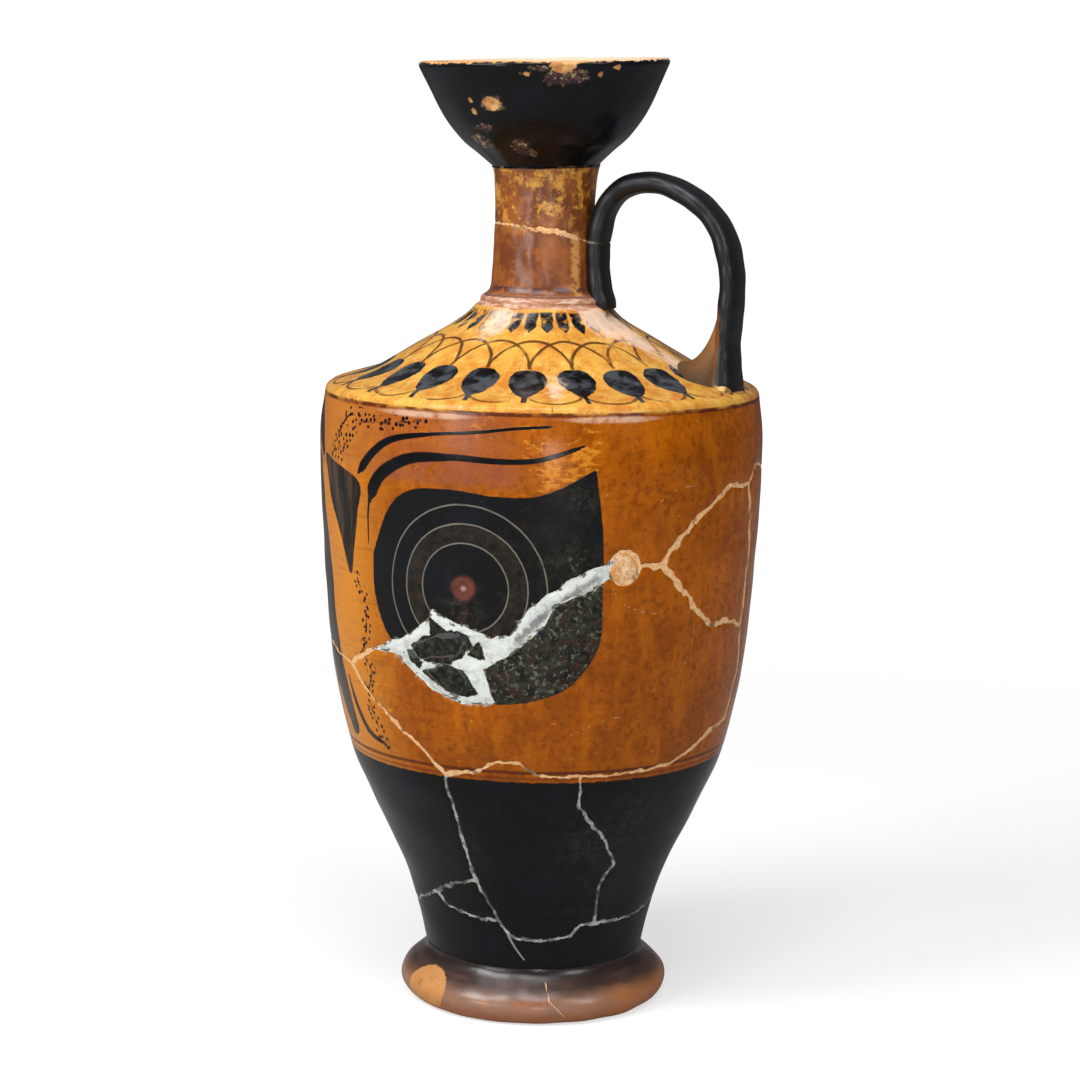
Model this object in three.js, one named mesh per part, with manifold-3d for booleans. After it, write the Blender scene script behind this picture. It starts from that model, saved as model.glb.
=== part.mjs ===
// A mended lekythos, a Greek oil flask with one handle, in millimetres with +Z up.
// Its axis is Z, it stands on the plane Z = 0 and its handle lies towards +X.
// It is made as the mender has it: the potter's pieces, the sherds they broke into and the plaster fills.
import * as THREE from 'three';
import { ConvexGeometry } from 'three/addons/geometries/ConvexGeometry.js';
import { mergeVertices } from 'three/addons/utils/BufferGeometryUtils.js';
import Module from 'manifold-3d';

const wasm = await Module();
wasm.setup();

// Clay thickness, and the gap of every joint and break
const wallThickness = 3.5;
const floorThickness = 5;
const jointGap = 0.3;

// Heights, each from the top of the one before it
const footHeight = 12;
const blackHeight = 49; // black wall, up to the red line
const pictureHeight = 82.4; // from the red line to the edge of the shoulder
const shoulderRise = 20.6;
const neckHeight = 32.3;
const mouthHeight = 23.7;

// Foot
const footRestRadius = 28.2;
const footRestWidth = 5; // flat ring that it stands on
const footBulgeRadius = 31.6;
const footBulgeHeight = 3.8;
const footRecessDepth = 4.5;

// Body
const footJointRadius = 25.6;
const bandRadius = 44.2; // at the red line
const bellyRadius = 51.6;
const shoulderRadius = 50.6;

// Round patch of fill right of the eye
const patchRadius = 3.7;
const patchAngle = -48.5; // degrees round the axis
const patchLevel = 1.597;

// Neck
const shoulderTopRadius = 15.6;
const neckRingRadius = 14.8;
const neckRingHeight = 2.3;
const neckRadius = 11.5;
const neckFootFlare = 0.95; // how far the neck widens towards its ring
const neckTopRadius = 12.5;
const boreRadius = 8;

// Mouth, which was set on the neck a little askew
const mouthRadius = 28.7;
const lipWidth = 3.2;
const mouthLean = 2.3; // degrees
const mouthLeanTowards = -117; // degrees round the axis

// Handle, a flat strap; its reach is the radius of its upright arm
const handleReach = 45.2;
const handleTop = 192.7; // height of the middle of the strap
const strapThickness = 4.9;
const legWidth = 8.4;
const armWidth = 12;
const rootFillWidth = 3; // pale fill round the lower root
const rootFillHeight = 4.5;

// Fineness of the surfaces
const turnSteps = 48;
const neckSteps = 32;
const breakStep = 8; // degrees that one straight leg of a break may span

// Places that follow from the sizes above
const bandHeight = footHeight + blackHeight;
const shoulderHeight = bandHeight + pictureHeight;
const neckStart = shoulderHeight + shoulderRise;
const mouthStart = neckStart + neckHeight;
const totalHeight = mouthStart + mouthHeight;
const halfGap = jointGap / 2;
const rad = THREE.MathUtils.degToRad;
const lerp = THREE.MathUtils.lerp;

// A level of 0 is the foot joint, 1 the red line and 2 the edge of the shoulder
function heightOf(level) {
  if (level < 1) return lerp(footHeight, bandHeight, level);
  return lerp(bandHeight, shoulderHeight, level - 1);
}

function neckLevel(share) {
  return lerp(neckStart, mouthStart, share);
}

// Geometry helpers: profiles hold Vector2 points of radius and height

function point(radius, height) {
  return new THREE.Vector2(radius, height);
}

function spline(points, samples) {
  return new THREE.SplineCurve(points).getPoints(samples);
}

function toSolid(geometry) {
  const bare = new THREE.BufferGeometry();
  bare.setAttribute('position', geometry.getAttribute('position'));
  if (geometry.index) bare.setIndex(geometry.index);
  const merged = mergeVertices(bare, 1e-4);
  return new wasm.Manifold(new wasm.Mesh({
    numProp: 3,
    vertProperties: new Float32Array(merged.getAttribute('position').array),
    triVerts: new Uint32Array(merged.index.array),
  }));
}

function toGeometry(solid) {
  const mesh = solid.getMesh();
  const geometry = new THREE.BufferGeometry();
  geometry.setAttribute('position', new THREE.BufferAttribute(mesh.vertProperties, 3));
  geometry.setIndex(new THREE.BufferAttribute(mesh.triVerts, 1));
  return geometry;
}

function turned(profile, steps) {
  return new THREE.LatheGeometry(profile, steps).rotateX(Math.PI / 2);
}

// Closed body through rings of points that all have the same count
function loft(rings) {
  const positions = [];
  const index = [];
  const count = rings[0].length;
  rings.forEach((ring) => ring.forEach((p) => positions.push(p.x, p.y, p.z)));
  const middle = (ring) => ring.reduce((sum, p) => sum.add(p), new THREE.Vector3()).divideScalar(count);
  const first = middle(rings[0]);
  const last = middle(rings[rings.length - 1]);
  positions.push(first.x, first.y, first.z, last.x, last.y, last.z);
  const firstIndex = rings.length * count;
  const lastRow = (rings.length - 1) * count;
  for (let i = 0; i < count; i += 1) {
    const j = (i + 1) % count;
    for (let row = 0; row < rings.length - 1; row += 1) {
      const a = row * count;
      const b = a + count;
      index.push(a + i, a + j, b + j, a + i, b + j, b + i);
    }
    index.push(firstIndex, j, i, firstIndex + 1, lastRow + i, lastRow + j);
  }
  const geometry = new THREE.BufferGeometry();
  geometry.setAttribute('position', new THREE.Float32BufferAttribute(positions, 3));
  geometry.setIndex(index);
  return geometry;
}

// Outer outline of the body's wall, from the foot joint to the edge of the shoulder
function wallOutline() {
  const stations = [
    [footJointRadius, 0],
    [lerp(footJointRadius, bandRadius, 0.26), 0.367],
    [lerp(footJointRadius, bandRadius, 0.73), 0.755],
    [bandRadius, 1],
    [lerp(bandRadius, bellyRadius, 0.54), 1.23],
    [lerp(bandRadius, bellyRadius, 0.84), 1.53],
    [bellyRadius, 1.85],
    [shoulderRadius, 2],
  ];
  return spline(stations.map(([radius, level]) => point(radius, heightOf(level))), 14);
}

// Outer outline of the shoulder, from its edge up to the neck
function shoulderOutline() {
  const shares = [[1, 0], [0.955, 0.12], [0.674, 0.28], [0.38, 0.56], [0.1, 0.84], [0, 1]];
  return spline(shares.map(([across, up]) => point(
    lerp(shoulderTopRadius, shoulderRadius, across),
    shoulderHeight + up * (shoulderRise - halfGap),
  )), 9);
}

function bodySolid() {
  const outer = [...wallOutline(), ...shoulderOutline().slice(1)];
  outer[0].y = footHeight + halfGap;
  const floorTop = footHeight + floorThickness;
  const topEdge = outer[outer.length - 1];
  const innerWall = outer
    .filter((p) => p.y > floorTop + wallThickness && p.y < shoulderHeight - wallThickness)
    .map((p) => point(p.x - wallThickness, p.y));
  const ceilingDrop = wallThickness * 1.15;
  const ceiling = shoulderOutline()
    .filter((p) => p.x < shoulderRadius - 2 * wallThickness && p.x > shoulderTopRadius + wallThickness)
    .map((p) => point(p.x, p.y - ceilingDrop));
  const throatRadius = shoulderTopRadius - wallThickness;
  const inner = [
    point(0, floorTop),
    point(innerWall[0].x - wallThickness, floorTop),
    ...innerWall,
    ...ceiling,
    point(throatRadius, topEdge.y - ceilingDrop / 2),
    point(throatRadius, topEdge.y),
  ];
  return toSolid(turned([point(0, outer[0].y), ...outer, ...inner.reverse()], turnSteps));
}

function footSolid() {
  const top = footHeight - halfGap;
  const lower = [];
  const upper = [];
  const lowerSteps = 3;
  const upperSteps = 6;
  for (let i = 0; i <= lowerSteps; i += 1) {
    const turn = (i / lowerSteps) * Math.PI / 2;
    lower.push(point(lerp(footRestRadius, footBulgeRadius, Math.sin(turn)), footBulgeHeight * (1 - Math.cos(turn))));
  }
  for (let i = 1; i <= upperSteps; i += 1) {
    const share = i / upperSteps;
    const fall = (1 + Math.cos(Math.PI * share ** 1.15)) / 2;
    upper.push(point(lerp(footJointRadius, footBulgeRadius, fall), lerp(footBulgeHeight, top, share)));
  }
  const restInner = footRestRadius - footRestWidth;
  const profile = [
    point(0, footRecessDepth),
    point(restInner * 0.6, footRecessDepth * 0.8),
    point(restInner, 0),
    ...lower,
    ...upper,
    point(0, top),
  ];
  return toSolid(turned(profile, turnSteps));
}

// Outer outline of the neck, from its moulded ring to the mouth
function neckOutline() {
  const bulge = neckRingHeight / 2;
  const ringMiddle = neckRingRadius - bulge;
  const ring = [-90, -30, 30, 75].map((turn) => point(
    ringMiddle + bulge * Math.cos(rad(turn)),
    neckStart + halfGap + bulge * (1 + Math.sin(rad(turn))),
  ));
  const shaft = spline([
    ring[ring.length - 1],
    point(neckRadius + neckFootFlare, neckLevel(0.124)),
    point(neckRadius + neckFootFlare / 2, neckLevel(0.25)),
    point(neckRadius, neckLevel(0.68)),
    point(lerp(neckRadius, neckTopRadius, 0.35), neckLevel(0.9)),
    point(neckTopRadius, mouthStart - halfGap),
  ], 8);
  return [...ring, ...shaft.slice(1)];
}

function neckSolid() {
  const outer = neckOutline();
  const throatRadius = shoulderTopRadius - wallThickness;
  const inner = [
    point(Math.min(throatRadius, outer[0].x - wallThickness / 2), outer[0].y),
    point(boreRadius, neckLevel(0.2)),
    point(boreRadius, mouthStart - halfGap),
  ];
  return toSolid(turned([...outer, ...inner.reverse(), outer[0].clone()], neckSteps));
}

// The mouth reaches below its joint, leans about it and is then cut level there
function mouthSolid() {
  const start = mouthStart - halfGap;
  const buried = neckTopRadius * Math.sin(rad(mouthLean)) + jointGap;
  const shares = [[0, 0], [0.19, 0.12], [0.4, 0.24], [0.6, 0.41], [0.745, 0.578], [0.86, 0.75], [1, 0.96]];
  const outer = spline(shares.map(([across, up]) => point(
    lerp(neckTopRadius, mouthRadius, across),
    lerp(start, totalHeight, up),
  )), 9);
  const lipRounding = lipWidth / 4;
  const lip = [
    point(mouthRadius - lipRounding, totalHeight),
    point(mouthRadius - lipWidth + lipRounding, totalHeight),
  ];
  const bowlShares = [[1, 0.94], [0.86, 0.76], [0.72, 0.6], [0.52, 0.43], [0.28, 0.28], [0.08, 0.15]];
  const bowl = spline(bowlShares.map(([across, up]) => point(
    lerp(boreRadius, mouthRadius - lipWidth, across),
    lerp(start, totalHeight, up),
  )), 6);
  const low = start - buried;
  const profile = [point(neckTopRadius, low), ...outer, ...lip, ...bowl, point(boreRadius, low)];
  profile.push(profile[0].clone());
  const lean = toSolid(turned(profile, turnSteps).applyMatrix4(leanMatrix()));
  const below = new THREE.BoxGeometry(4 * neckTopRadius, 4 * neckTopRadius, 2 * buried + jointGap);
  return lean.subtract(toSolid(below.translate(0, 0, mouthStart - buried)));
}

// The lean of the mouth, about the middle of its joint with the neck
function leanMatrix() {
  const pivot = new THREE.Vector3(0, 0, mouthStart);
  const towards = rad(mouthLeanTowards);
  const axis = new THREE.Vector3(-Math.sin(towards), Math.cos(towards), 0);
  const turn = new THREE.Matrix4().makeRotationAxis(axis, rad(mouthLean));
  return new THREE.Matrix4().makeTranslation(pivot).multiply(turn)
    .multiply(new THREE.Matrix4().makeTranslation(pivot.clone().negate()));
}

// Solid of revolution filled to the axis, that cuts a piece back from what it sits on
function clearanceOf(outline, steps) {
  const grown = outline.map((p) => point(p.x + jointGap, p.y + halfGap));
  const low = grown[0].y;
  const high = grown[grown.length - 1].y;
  return toSolid(turned([point(0, low), ...grown, point(0, high)], steps));
}

// Breaks: each is a list of [degrees round the axis, level or height] points on the wall

function radiusAt(outline, height) {
  const k = outline.findIndex((p) => p.y > height);
  if (k < 1) return k === 0 ? outline[0].x : outline[outline.length - 1].x;
  const share = (height - outline[k - 1].y) / (outline[k].y - outline[k - 1].y);
  return lerp(outline[k - 1].x, outline[k].x, share);
}

// Thin solid along a break, cutting radially from innerRadius to outerRadius
function breakSolid(path, outline, innerRadius, outerRadius) {
  const legs = [];
  for (let i = 0; i < path.length - 1; i += 1) {
    const [startAngle, startHeight] = path[i];
    const [endAngle, endHeight] = path[i + 1];
    const pieces = Math.ceil(Math.abs(endAngle - startAngle) / breakStep) || 1;
    for (let k = 0; k < pieces; k += 1) {
      const from = k / pieces;
      const to = (k + 1) / pieces;
      legs.push(breakLeg(
        [lerp(startAngle, endAngle, from), lerp(startHeight, endHeight, from)],
        [lerp(startAngle, endAngle, to), lerp(startHeight, endHeight, to)],
        outline,
        innerRadius,
        outerRadius,
      ));
    }
  }
  return legs.reduce((sum, leg) => sum.add(leg));
}

function breakLeg(from, to, outline, innerRadius, outerRadius) {
  const radius = radiusAt(outline, (from[1] + to[1]) / 2);
  const along = new THREE.Vector2(rad(to[0] - from[0]) * radius, to[1] - from[1]).normalize();
  const corners = [];
  [[from, -1], [to, 1]].forEach(([end, forward]) => {
    [-1, 1].forEach((side) => {
      const aroundShift = (forward * along.x - side * along.y) * halfGap;
      const upShift = (forward * along.y + side * along.x) * halfGap;
      const angle = rad(end[0]) + aroundShift / radius;
      [innerRadius, outerRadius].forEach((reach) => corners.push(new THREE.Vector3(
        reach * Math.cos(angle),
        reach * Math.sin(angle),
        end[1] + upShift,
      )));
    });
  });
  return toSolid(new ConvexGeometry(corners));
}

// Point of the round patch's edge as [degrees, level], by its turn round the patch
function onPatch(turn) {
  return [
    patchAngle + THREE.MathUtils.radToDeg((patchRadius / bellyRadius) * Math.cos(rad(turn))),
    patchLevel + (patchRadius / pictureHeight) * Math.sin(rad(turn)),
  ];
}

const patchEdge = [0, 30, 60, 90, 120, 150, 180, 210, 240, 270, 300, 330, 0].map(onPatch);
const fillTop = [
  [-118, 1.335], [-106, 1.39], [-99, 1.44], [-98, 1.47], [-92, 1.44], [-82, 1.4], [-77, 1.41],
  [-73, 1.48], [-62, 1.57], onPatch(163),
];
const fillBottom = [
  [-118, 1.335], [-110, 1.335], [-106, 1.305], [-101, 1.27], [-96, 1.24], [-91, 1.218], [-81.5, 1.228],
  [-84.5, 1.32], [-75, 1.38], [-69, 1.44], [-66, 1.5], [-59, 1.53], onPatch(207),
];
const largeSherdEdge = [
  [-107, 1.345], [-101, 1.38], [-97, 1.4], [-91, 1.41], [-88.5, 1.39], [-91, 1.352], [-103, 1.33],
  [-107, 1.345],
];
const smallSherdEdge = [
  [-101, 1.3], [-96, 1.32], [-91.5, 1.318], [-89, 1.29], [-89.5, 1.25], [-92, 1.238], [-96, 1.26],
  [-101, 1.3],
];
const brokenCorner = [0, 1.38];
const bodyBreaks = [
  fillTop,
  fillBottom,
  largeSherdEdge,
  smallSherdEdge,
  patchEdge,
  // from the patch to the pointed sherd, over it and round the back to the fill
  [onPatch(0), [-38, 1.595], [-33, 1.66], [-27, 1.72], [-14.5, 1.79], [-3, 1.785], [3, 1.83], [40, 1.76],
    [90, 1.62], [140, 1.5], [190, 1.33], [229, 1.27], [242, 1.335]],
  // under the pointed sherd, and its upright side
  [[-38, 1.595], [-32, 1.54], [-26, 1.47], [-19, 1.41], [-11.5, 1.415], brokenCorner],
  [[-3, 1.785], [-0.2, 1.67], [0.6, 1.55], brokenCorner],
  // right side of the sherd under the eye, the break along the red line, and its left side
  [brokenCorner, [3, 1.25], [0.5, 1.165], [0, 1.11], [-11.3, 1.096], [-19.7, 1.055], [-29.3, 1.025],
    [-45.3, 1.015], [-64.7, 1.018], [-70, 1.02], [-74.6, 1.056], [-80.8, 1.057], [-88.7, 1.017],
    [-97.7, 1.005], [-104, 1.07], [-111.4, 1.12], [-118.5, 1.17], [-125.5, 1.215], [-131, 1.27]],
  // left side of the front of the black wall, then its right side
  [[-97.4, 1.005], [-97.1, 0.84], [-96.4, 0.67], [-94.8, 0.45], [-89.6, 0.32], [-84.5, 0.21]],
  [[-57.2, 1.018], [-57, 0.871], [-53.2, 0.8], [-44.3, 0.669], [-37.7, 0.535], [-42, 0.437],
    [-41.6, 0.386], [-40, 0.222]],
  // over and under the small pointed sherd, then all round above the floor
  [[-144, 0.233], [-119.5, 0.343], [-107, 0.408], [-94.9, 0.45]],
  [[-119.5, 0.343], [-114.6, 0.282], [-107, 0.265], [-96.7, 0.251], [-87, 0.247], [-82.9, 0.19],
    [-76.7, 0.155], [-65.8, 0.149], [-51.8, 0.167], [-47.5, 0.222], [-33.6, 0.22], [-13, 0.224],
    [15, 0.25], [60, 0.2], [110, 0.24], [165, 0.2], [216, 0.233]],
];

// One point inside each sherd and fill of the body, by its node's name
const bodySeeds = {
  upper_body_sherd: [-80, 1.7],
  right_body_sherd: [-14, 1.6],
  front_body_sherd: [-55, 1.25],
  back_wall_sherd: [120, 0.8],
  lower_front_sherd: [-75, 0.6],
  lower_left_sherd: [-107, 0.33],
  base_sherd: [-60, 0.05],
  eye_plaster_fill: [-93, 1.428],
  eye_sherd_large: [-97, 1.36],
  eye_sherd_small: [-95, 1.285],
  round_patch_fill: [patchAngle, patchLevel],
};

const neckBreak = [
  [-143, 0.58], [-113, 0.58], [-99, 0.565], [-76, 0.555], [-53, 0.53], [-21, 0.475], [0, 0.455],
  [30, 0.475], [75, 0.52], [120, 0.56], [170, 0.59], [217, 0.58],
];

// Which of the solids holds the point
function pieceAt(pieces, place) {
  const probeSize = wallThickness / 10;
  const probe = toSolid(new THREE.BoxGeometry(probeSize, probeSize, probeSize).translate(place.x, place.y, place.z));
  return pieces.find((piece) => piece.intersect(probe).volume() > 0);
}

function wallPoint(angle, radius, height) {
  return new THREE.Vector3(radius * Math.cos(rad(angle)), radius * Math.sin(rad(angle)), height);
}

function brokenBody() {
  const outline = wallOutline();
  const breaks = bodyBreaks
    .map((path) => breakSolid(
      path.map(([angle, level]) => [angle, heightOf(level)]),
      outline,
      footJointRadius / 3,
      bellyRadius * 1.2,
    ))
    .reduce((sum, solid) => sum.add(solid));
  const pieces = bodySolid().subtract(breaks).decompose();
  return Object.entries(bodySeeds).map(([name, [angle, level]]) => {
    const height = heightOf(level);
    const radius = radiusAt(outline, height) - wallThickness / 2;
    return [name, pieceAt(pieces, wallPoint(angle, radius, height))];
  });
}

// The strap's middle line, in the plane of the axis and +X
function strapPath() {
  const legRadius = neckRadius + strapThickness / 3;
  const span = handleReach - legRadius;
  const x = (share) => legRadius + share * span;
  const drop = (share) => handleTop - share * (handleTop - shoulderHeight);
  const armFoot = lerp(shoulderTopRadius, shoulderRadius, 0.8);
  const legFoot = neckRingRadius + strapThickness / 8;
  return new THREE.CatmullRomCurve3([
    [legFoot, neckStart + neckRingHeight / 2],
    [x(0.02), drop(0.5)],
    [x(0), drop(0.36)],
    [x(0.01), drop(0.24)],
    [x(0.07), drop(0.11)],
    [x(0.2), drop(0.025)],
    [x(0.39), drop(0)],
    [x(0.58), drop(0.028)],
    [x(0.79), drop(0.11)],
    [x(0.93), drop(0.23)],
    [x(1), drop(0.4)],
    [x(0.995), drop(0.55)],
    [x(0.97), drop(0.7)],
    [armFoot, drop(0.84)],
    [armFoot + strapThickness / 10, drop(0.96)],
  ].map(([px, pz]) => new THREE.Vector3(px, 0, pz)));
}

// Rounded cross-section of the strap, seen along its path
function strapRing(centre, tangent, halfWidth, halfThickness) {
  const sides = 16;
  const squareness = 0.75;
  const ring = [];
  const outward = new THREE.Vector3(-tangent.z, 0, tangent.x);
  for (let i = 0; i < sides; i += 1) {
    const turn = (i / sides) * Math.PI * 2;
    const across = Math.sign(Math.cos(turn)) * Math.abs(Math.cos(turn)) ** squareness * halfWidth;
    const up = Math.sign(Math.sin(turn)) * Math.abs(Math.sin(turn)) ** squareness * halfThickness;
    ring.push(centre.clone().addScaledVector(outward, up).add(new THREE.Vector3(0, across, 0)));
  }
  return ring;
}

// The strap, or a larger one all round it
function strapSolid(extra) {
  const path = strapPath();
  const steps = 34;
  const length = path.getLength();
  const rings = [];
  for (let i = 0; i <= steps; i += 1) {
    const share = i / steps;
    const fromTip = share * length;
    const tip = Math.min(fromTip / strapThickness + 0.12, 1);
    const rounding = Math.sqrt(1 - (1 - tip) ** 2);
    const flare = 1 + 0.4 * THREE.MathUtils.smoothstep(share, 0.86, 1);
    const width = lerp(legWidth, armWidth, THREE.MathUtils.smoothstep(share, 0.2, 0.75));
    rings.push(strapRing(
      path.getPointAt(share),
      path.getTangentAt(share),
      (width / 2) * rounding * lerp(1, flare, 0.4) + extra,
      (strapThickness / 2) * rounding * flare + extra,
    ));
  }
  return toSolid(loft(rings));
}

// Low ring of fill round the strap's lower root
function rootFillSolid() {
  const path = strapPath();
  const rootTangent = path.getTangentAt(1);
  const root = path.getPointAt(1);
  const steps = 5;
  const rings = [];
  for (let i = 0; i <= steps; i += 1) {
    const share = i / steps;
    const spread = rootFillWidth * (1 - share) ** 1.5;
    rings.push(strapRing(
      root.clone().addScaledVector(rootTangent, -share * 2 * rootFillHeight),
      rootTangent.clone().negate(),
      armWidth * 0.58 + spread + jointGap,
      strapThickness * 0.7 + spread + jointGap,
    ));
  }
  return toSolid(loft(rings));
}

// Splits a solid at the neck's break and gives the part below it and the part above it
function splitAtNeck(solid, breaks) {
  const parts = solid.subtract(breaks).decompose();
  const byHeight = parts.sort((a, b) => a.boundingBox().min[2] - b.boundingBox().min[2]);
  return [byHeight[0], byHeight[byHeight.length - 1]];
}

function brokenNeckAndHandle() {
  const path = neckBreak.map(([angle, share]) => [angle, neckLevel(share)]);
  const reach = neckRadius + 2 * strapThickness;
  const breaks = breakSolid(path, neckOutline(), boreRadius / 2, reach);
  const [neckLower, neckUpper] = splitAtNeck(neckSolid(), breaks);
  const handle = strapSolid(0)
    .subtract(clearanceOf(neckOutline(), neckSteps))
    .subtract(clearanceOf(shoulderOutline(), turnSteps))
    .subtract(breaks)
    .decompose()
    .sort((a, b) => b.volume() - a.volume());
  const rootFill = rootFillSolid()
    .subtract(strapSolid(jointGap))
    .subtract(clearanceOf(shoulderOutline(), turnSteps))
    .decompose()
    .sort((a, b) => b.volume() - a.volume());
  return [
    ['neck_lower_sherd', neckLower],
    ['neck_upper_sherd', neckUpper],
    ['handle_arch', handle[0]],
    ['handle_neck_stub', handle[1]],
    ['handle_root_fill', rootFill[0]],
  ];
}

// Finishes

function finish(color, roughness) {
  return new THREE.MeshStandardMaterial({ color, roughness, metalness: 0 });
}

const blackGloss = finish(0x1f2022, 0.3);
const orangeClay = finish(0xb5651d, 0.5);
const paleClay = finish(0xc98a3c, 0.55);
const brownGloss = finish(0x6e4334, 0.35);
const whitePlaster = finish(0xd8dcd3, 0.85);
const creamFill = finish(0xe0b98a, 0.85);

const finishes = {
  foot: brownGloss,
  mouth: blackGloss,
  neck_lower_sherd: orangeClay,
  neck_upper_sherd: orangeClay,
  handle_arch: blackGloss,
  handle_neck_stub: blackGloss,
  handle_root_fill: creamFill,
  upper_body_sherd: paleClay,
  right_body_sherd: orangeClay,
  front_body_sherd: orangeClay,
  back_wall_sherd: orangeClay,
  lower_front_sherd: blackGloss,
  lower_left_sherd: blackGloss,
  base_sherd: blackGloss,
  eye_plaster_fill: whitePlaster,
  eye_sherd_large: blackGloss,
  eye_sherd_small: blackGloss,
  round_patch_fill: creamFill,
};

const vessel = new THREE.Group();
const pieces = [
  ['foot', footSolid()],
  ...brokenBody(),
  ...brokenNeckAndHandle(),
  ['mouth', mouthSolid()],
];
pieces.forEach(([name, solid]) => {
  const mesh = new THREE.Mesh(toGeometry(solid), finishes[name]);
  mesh.name = name;
  vessel.add(mesh);
});

export default vessel;
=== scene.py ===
"""Looks of a mended lekythos, a Greek oil flask with one handle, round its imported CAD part.

Each sherd is rebuilt as a fine clay shell with its painting, wear and mends. Sizes are in millimetres,
angles in degrees round the axis with the handle at 0, until they reach Blender.
"""
import math

import bpy
import numpy as np
from mathutils import Matrix, Vector


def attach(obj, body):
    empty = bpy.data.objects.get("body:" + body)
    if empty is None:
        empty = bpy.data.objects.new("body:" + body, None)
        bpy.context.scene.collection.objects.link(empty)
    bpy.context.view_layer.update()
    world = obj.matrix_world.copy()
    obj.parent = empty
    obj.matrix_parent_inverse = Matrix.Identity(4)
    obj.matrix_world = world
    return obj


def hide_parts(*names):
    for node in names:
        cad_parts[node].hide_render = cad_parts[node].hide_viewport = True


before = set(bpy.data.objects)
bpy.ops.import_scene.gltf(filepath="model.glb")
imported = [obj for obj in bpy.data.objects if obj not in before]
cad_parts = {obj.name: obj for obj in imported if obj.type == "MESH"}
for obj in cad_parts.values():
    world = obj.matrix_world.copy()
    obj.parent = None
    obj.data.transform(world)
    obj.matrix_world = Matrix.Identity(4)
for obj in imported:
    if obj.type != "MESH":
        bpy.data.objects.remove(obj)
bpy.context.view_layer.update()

MM = 0.001

# Sizes of the part
WALL = 3.5
FLOOR = 5.0
FOOT_HEIGHT = 12.0
BAND_HEIGHT = 61.0  # top of the black wall
SHOULDER_HEIGHT = 143.4
NECK_START = 164.0
MOUTH_START = 196.3
TOTAL_HEIGHT = 220.0
FOOT_JOINT_RADIUS = 25.6
BAND_RADIUS = 44.2
BELLY_RADIUS = 51.6
SHOULDER_RADIUS = 50.6
SHOULDER_TOP_RADIUS = 15.6
FOOT_REST_RADIUS = 28.2
FOOT_REST_WIDTH = 5.0
FOOT_BULGE_RADIUS = 31.6
FOOT_BULGE_HEIGHT = 3.8
FOOT_RECESS = 4.5
NECK_RING_RADIUS = 14.8
NECK_RING_HEIGHT = 2.3
NECK_RADIUS = 11.5
NECK_FOOT_FLARE = 0.95
NECK_TOP_RADIUS = 12.5
BORE_RADIUS = 8.0
MOUTH_RADIUS = 28.7
LIP_WIDTH = 3.2
MOUTH_LEAN = 2.3
MOUTH_LEAN_TOWARDS = -117.0
HANDLE_REACH = 45.2
HANDLE_TOP = 192.7
STRAP_THICKNESS = 4.9
LEG_WIDTH = 8.4
ARM_WIDTH = 12.0
PATCH_ANGLE = -48.5
PATCH_LEVEL = 1.597
PATCH_RADIUS = 3.7

# Fineness of the surfaces
COLUMNS = 540
STEP = 0.62
FAR = 7.0  # reach of the distances measured to breaks and brush strokes
FAR_SHARE = 9.0  # the same for brush strokes, as a share of their half width
SHARP_ANGLE = 38  # edges sharper than this aren't smoothed
SOFT_REACH = 6.0  # over which the direction of the wall's inner side is evened out
THINNEST = 0.08  # least half width of a brush stroke


def lerp(a, b, t):
    return a + (b - a) * t


def smooth(low, high, x):
    t = np.clip((x - low) / (high - low), 0, 1)
    return t * t * (3 - 2 * t)


def spline(points, samples):
    """Even Catmull-Rom curve through the points."""
    p = np.array(points, float)
    spans = len(p) - 1
    t = np.linspace(0, spans, samples + 1)
    i = np.minimum(t.astype(int), spans - 1)
    w = (t - i)[:, None]
    start, end = p[i], p[i + 1]
    before = p[np.maximum(i - 1, 0)]
    after = p[np.minimum(i + 2, spans)]
    v0 = (end - before) / 2
    v1 = (after - start) / 2
    return ((2 * start - 2 * end + v0 + v1) * w ** 3 + (3 * end - 3 * start - 2 * v0 - v1) * w ** 2
            + v0 * w + start)


def height_of(level):
    """A level of 0 is the foot joint, 1 the red line and 2 the edge of the shoulder."""
    if level < 1:
        return lerp(FOOT_HEIGHT, BAND_HEIGHT, level)
    return lerp(BAND_HEIGHT, SHOULDER_HEIGHT, level - 1)


def neck_level(share):
    return lerp(NECK_START, MOUTH_START, share)


def lengths(points):
    """How far along a line of points each of them lies."""
    return np.concatenate([[0], np.cumsum(np.hypot(*np.diff(points, axis=0).T))])


def between(radii, heights, shares, samples):
    """Curve through places given as shares of the way between two radii and between two heights."""
    return spline([(lerp(*radii, across), lerp(*heights, up)) for across, up in shares], samples)


# Outlines, each a dense run of (radius, height) points

def wall_outline():
    stations = [
        (FOOT_JOINT_RADIUS, 0),
        (lerp(FOOT_JOINT_RADIUS, BAND_RADIUS, 0.26), 0.367),
        (lerp(FOOT_JOINT_RADIUS, BAND_RADIUS, 0.73), 0.755),
        (BAND_RADIUS, 1),
        (lerp(BAND_RADIUS, BELLY_RADIUS, 0.54), 1.23),
        (lerp(BAND_RADIUS, BELLY_RADIUS, 0.84), 1.53),
        (BELLY_RADIUS, 1.85),
        (SHOULDER_RADIUS, 2),
    ]
    return spline([(radius, height_of(level)) for radius, level in stations], 420)


def shoulder_outline():
    shares = [(1, 0), (0.955, 0.12), (0.674, 0.28), (0.38, 0.56), (0.1, 0.84), (0, 1)]
    return between((SHOULDER_TOP_RADIUS, SHOULDER_RADIUS), (SHOULDER_HEIGHT, NECK_START), shares, 200)


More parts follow.
